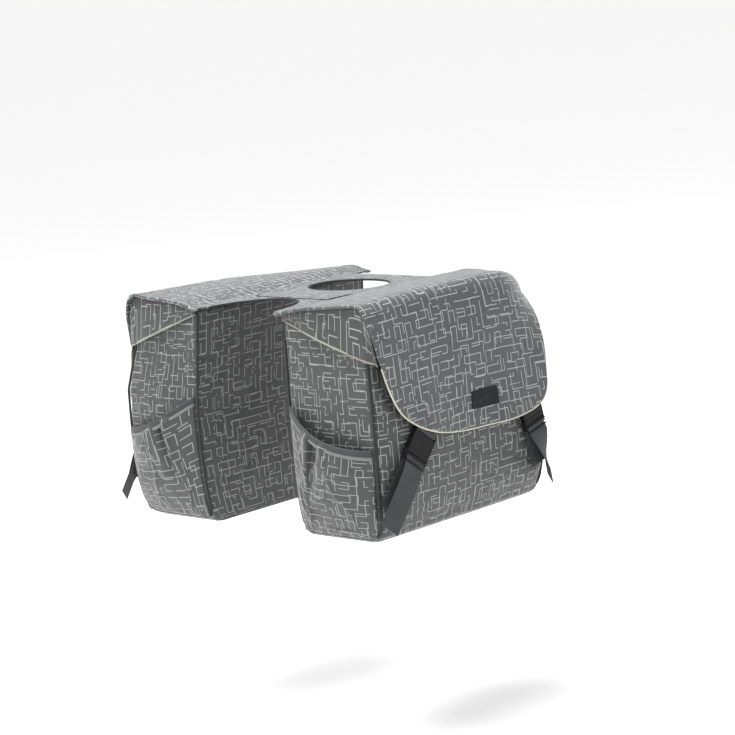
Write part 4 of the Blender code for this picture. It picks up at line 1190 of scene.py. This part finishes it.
for side, word in SIDES:
    for end, place in ENDS:
        tag = f"{place}_{word}"
        webbing_strip("webbing_lower_" + tag, lower_path(end), side, end, ["strap_lower_" + tag], HEM_LENGTH,
                      TAIL_TWIST[side, end])
        webbing_strip("webbing_upper_" + tag, upper_path(end), side, end, ["strap_upper_" + tag])
        rotation, origin = buckle_axes(side, end)
        for number, up in enumerate(BAR_AT):
            across = np.linspace(-0.5, 0.5, 30)
            bar = np.broadcast_arrays(across * (STRAP_WIDTH + 0.004), up, BAR_OUT - BAR_CROWN * across**2)
            bar = np.stack(bar, axis=-1)
            cord_along(f"buckle_bar_{tag}_{number}", bar @ rotation + origin, BAR_RADIUS, PLASTIC)
# %% [markdown]
# ## Bridge and tongue
# The bridge joins both flaps. It is a sheet with a half-oval notch at the rear and an oval hole ahead of the middle,
# both bound with a narrow tape, and a tongue from the right bag lies across its middle band. A grid fits such a cut
# sheet when its rows run straight and its columns are pushed aside by the openings, but an oval hole needs a ring
# of its own. So the bridge is a flat outline, filled and given its thickness.

# %% Make the bridge, its bindings and the tongue
BRIDGE_THICK, BRIDGE_REAR, BRIDGE_FRONT = 0.003, 0.178, 0.150
NOTCH_DEPTH, NOTCH_MARGIN = 0.102, 0.006
HOLE_MIDDLE, HOLE_HALF_LENGTH, HOLE_HALF_WIDTH = 0.054, 0.056, 0.068
TONGUE_THICK, TONGUE_MIDDLE, TONGUE_HALF_WIDTH, TONGUE_REACH = 0.0011, -0.049, 0.026, 0.062
CUT_ROUND = 0.0005  # radius of a cut sheet's edges
bridge_half = GAP / 2 + DEPTH * ROOF[0][0] - TOUCH


def oval(middle, half_x, half_y, start, end, count):
    """Points round part of an oval, between two turns in degrees."""
    turn = np.radians(np.linspace(start, end, count))
    return np.stack([half_x * np.cos(turn), middle + half_y * np.sin(turn)], axis=-1)


def cut_sheet(name, loops, low, thickness, finish, replaced):
    """A sheet cut to closed outlines, the first outside and any other a hole: a filled curve, given its thickness."""
    curve = bpy.data.curves.new(name, "CURVE")
    curve.dimensions, curve.fill_mode, curve.extrude = "2D", "BOTH", thickness / 2 - CUT_ROUND
    curve.bevel_depth, curve.bevel_resolution, curve.offset = CUT_ROUND, 2, -CUT_ROUND
    for loop in loops:
        spline = curve.splines.new("POLY")
        spline.points.add(len(loop) - 1)
        spline.use_cyclic_u = True
        spline.points.foreach_set("co", np.column_stack([loop, np.zeros(len(loop)), np.ones(len(loop))]).ravel())
    filled = add(name + "_outline", curve)
    bpy.context.view_layer.update()
    mesh = bpy.data.meshes.new_from_object(filled.evaluated_get(bpy.context.evaluated_depsgraph_get()))
    bpy.data.objects.remove(filled)
    face_outwards(mesh, weld=0.00001)
    points = np.zeros(len(mesh.vertices) * 3)
    mesh.vertices.foreach_get("co", points)
    points = points.reshape(-1, 3) + (0, 0, low + thickness / 2)
    mesh.vertices.foreach_set("co", points.ravel())
    for spare in list(mesh.uv_layers):
        mesh.uv_layers.remove(spare)
    mesh.uv_layers.new(name="cloth").data.foreach_set("uv", at_corners(mesh, points[:, :2]).ravel())
    mesh.shade_smooth()
    mesh.set_sharp_from_angle(angle=math.radians(40))
    mesh.materials.clear()
    return dressed(name, mesh, finish, replaced)


notch = oval(-BRIDGE_REAR, bridge_half - NOTCH_MARGIN, NOTCH_DEPTH, 180, 0, 61)
corners = np.array([(bridge_half, -BRIDGE_REAR), (bridge_half, BRIDGE_FRONT),
                    (-bridge_half, BRIDGE_FRONT), (-bridge_half, -BRIDGE_REAR)])
hole = oval(HOLE_MIDDLE, HOLE_HALF_WIDTH, HOLE_HALF_LENGTH, 0, 357, 120)
bridge = cut_sheet("bridge_cloth", [np.concatenate([notch, corners]), hole], 0.0, BRIDGE_THICK, LIT_FLAP_CLOTH,
                   ["bridge"])

BINDING = 0.0017
for name, loop in (("bridge_notch_binding", notch[2:-2]), ("bridge_hole_binding", np.concatenate([hole, hole[:3]]))):
    path = np.column_stack([loop, np.full(len(loop), BRIDGE_THICK / 2)])
    cord_along(name, through(path, np.linspace(0, 1, 220)), BINDING, WELT)

tip = oval(TONGUE_MIDDLE, TONGUE_HALF_WIDTH * 0.6, TONGUE_HALF_WIDTH, 90, 270, 31) - (TONGUE_REACH, 0)
start = np.array([(bridge_half, TONGUE_MIDDLE - TONGUE_HALF_WIDTH), (bridge_half, TONGUE_MIDDLE + TONGUE_HALF_WIDTH)])
tongue = cut_sheet("tongue_cloth", [np.concatenate([start, tip])], BRIDGE_THICK + TOUCH, TONGUE_THICK, LIT_FLAP_CLOTH,
                   ["bridge_tongue"])
edge = np.column_stack([tip, np.full(len(tip), BRIDGE_THICK + TOUCH + TONGUE_THICK / 2)])
cord_along("tongue_binding", through(edge, np.linspace(0, 1, 90)), 0.0009, WELT)

# %% [markdown]
# ## Patch
# A small moulded patch is sewn to the right flap. It is left bare: a flat field inside a low raised rim.

# %% Make the patch
LABEL_WIDTH, LABEL_HEIGHT, LABEL_THICK, LABEL_AT, LABEL_DROP = 0.051, 0.026, 0.0012, 0.036, 0.150
RIM_HEIGHT, RIM_INSET, RIM_WIDTH = 0.0005, 0.0022, 0.0007
s, t = np.meshgrid(np.linspace(-1, 1, 90), np.linspace(1, -1, 50))
corner = 1 - 0.045 * np.clip(np.abs(s * t), 0, 1) ** 10
y = LABEL_AT + LABEL_WIDTH / 2 * s * corner
z = -LABEL_DROP + LABEL_HEIGHT / 2 * t * corner
to_edge = np.minimum((1 - np.abs(s)) * LABEL_WIDTH / 2, (1 - np.abs(t)) * LABEL_HEIGHT / 2)
rim = RIM_HEIGHT * np.exp(-((to_edge - RIM_INSET) / RIM_WIDTH) ** 2)
stand = FLAP_THICK / 2 + 2 * SEAT + LABEL_THICK / 2
grid = np.stack([apron_x(y, z) + stand + rim, y, z], axis=-1)
sheet("patch", settled(grid, RIGHT), LABEL_THICK, RUBBER, ["label_right"])
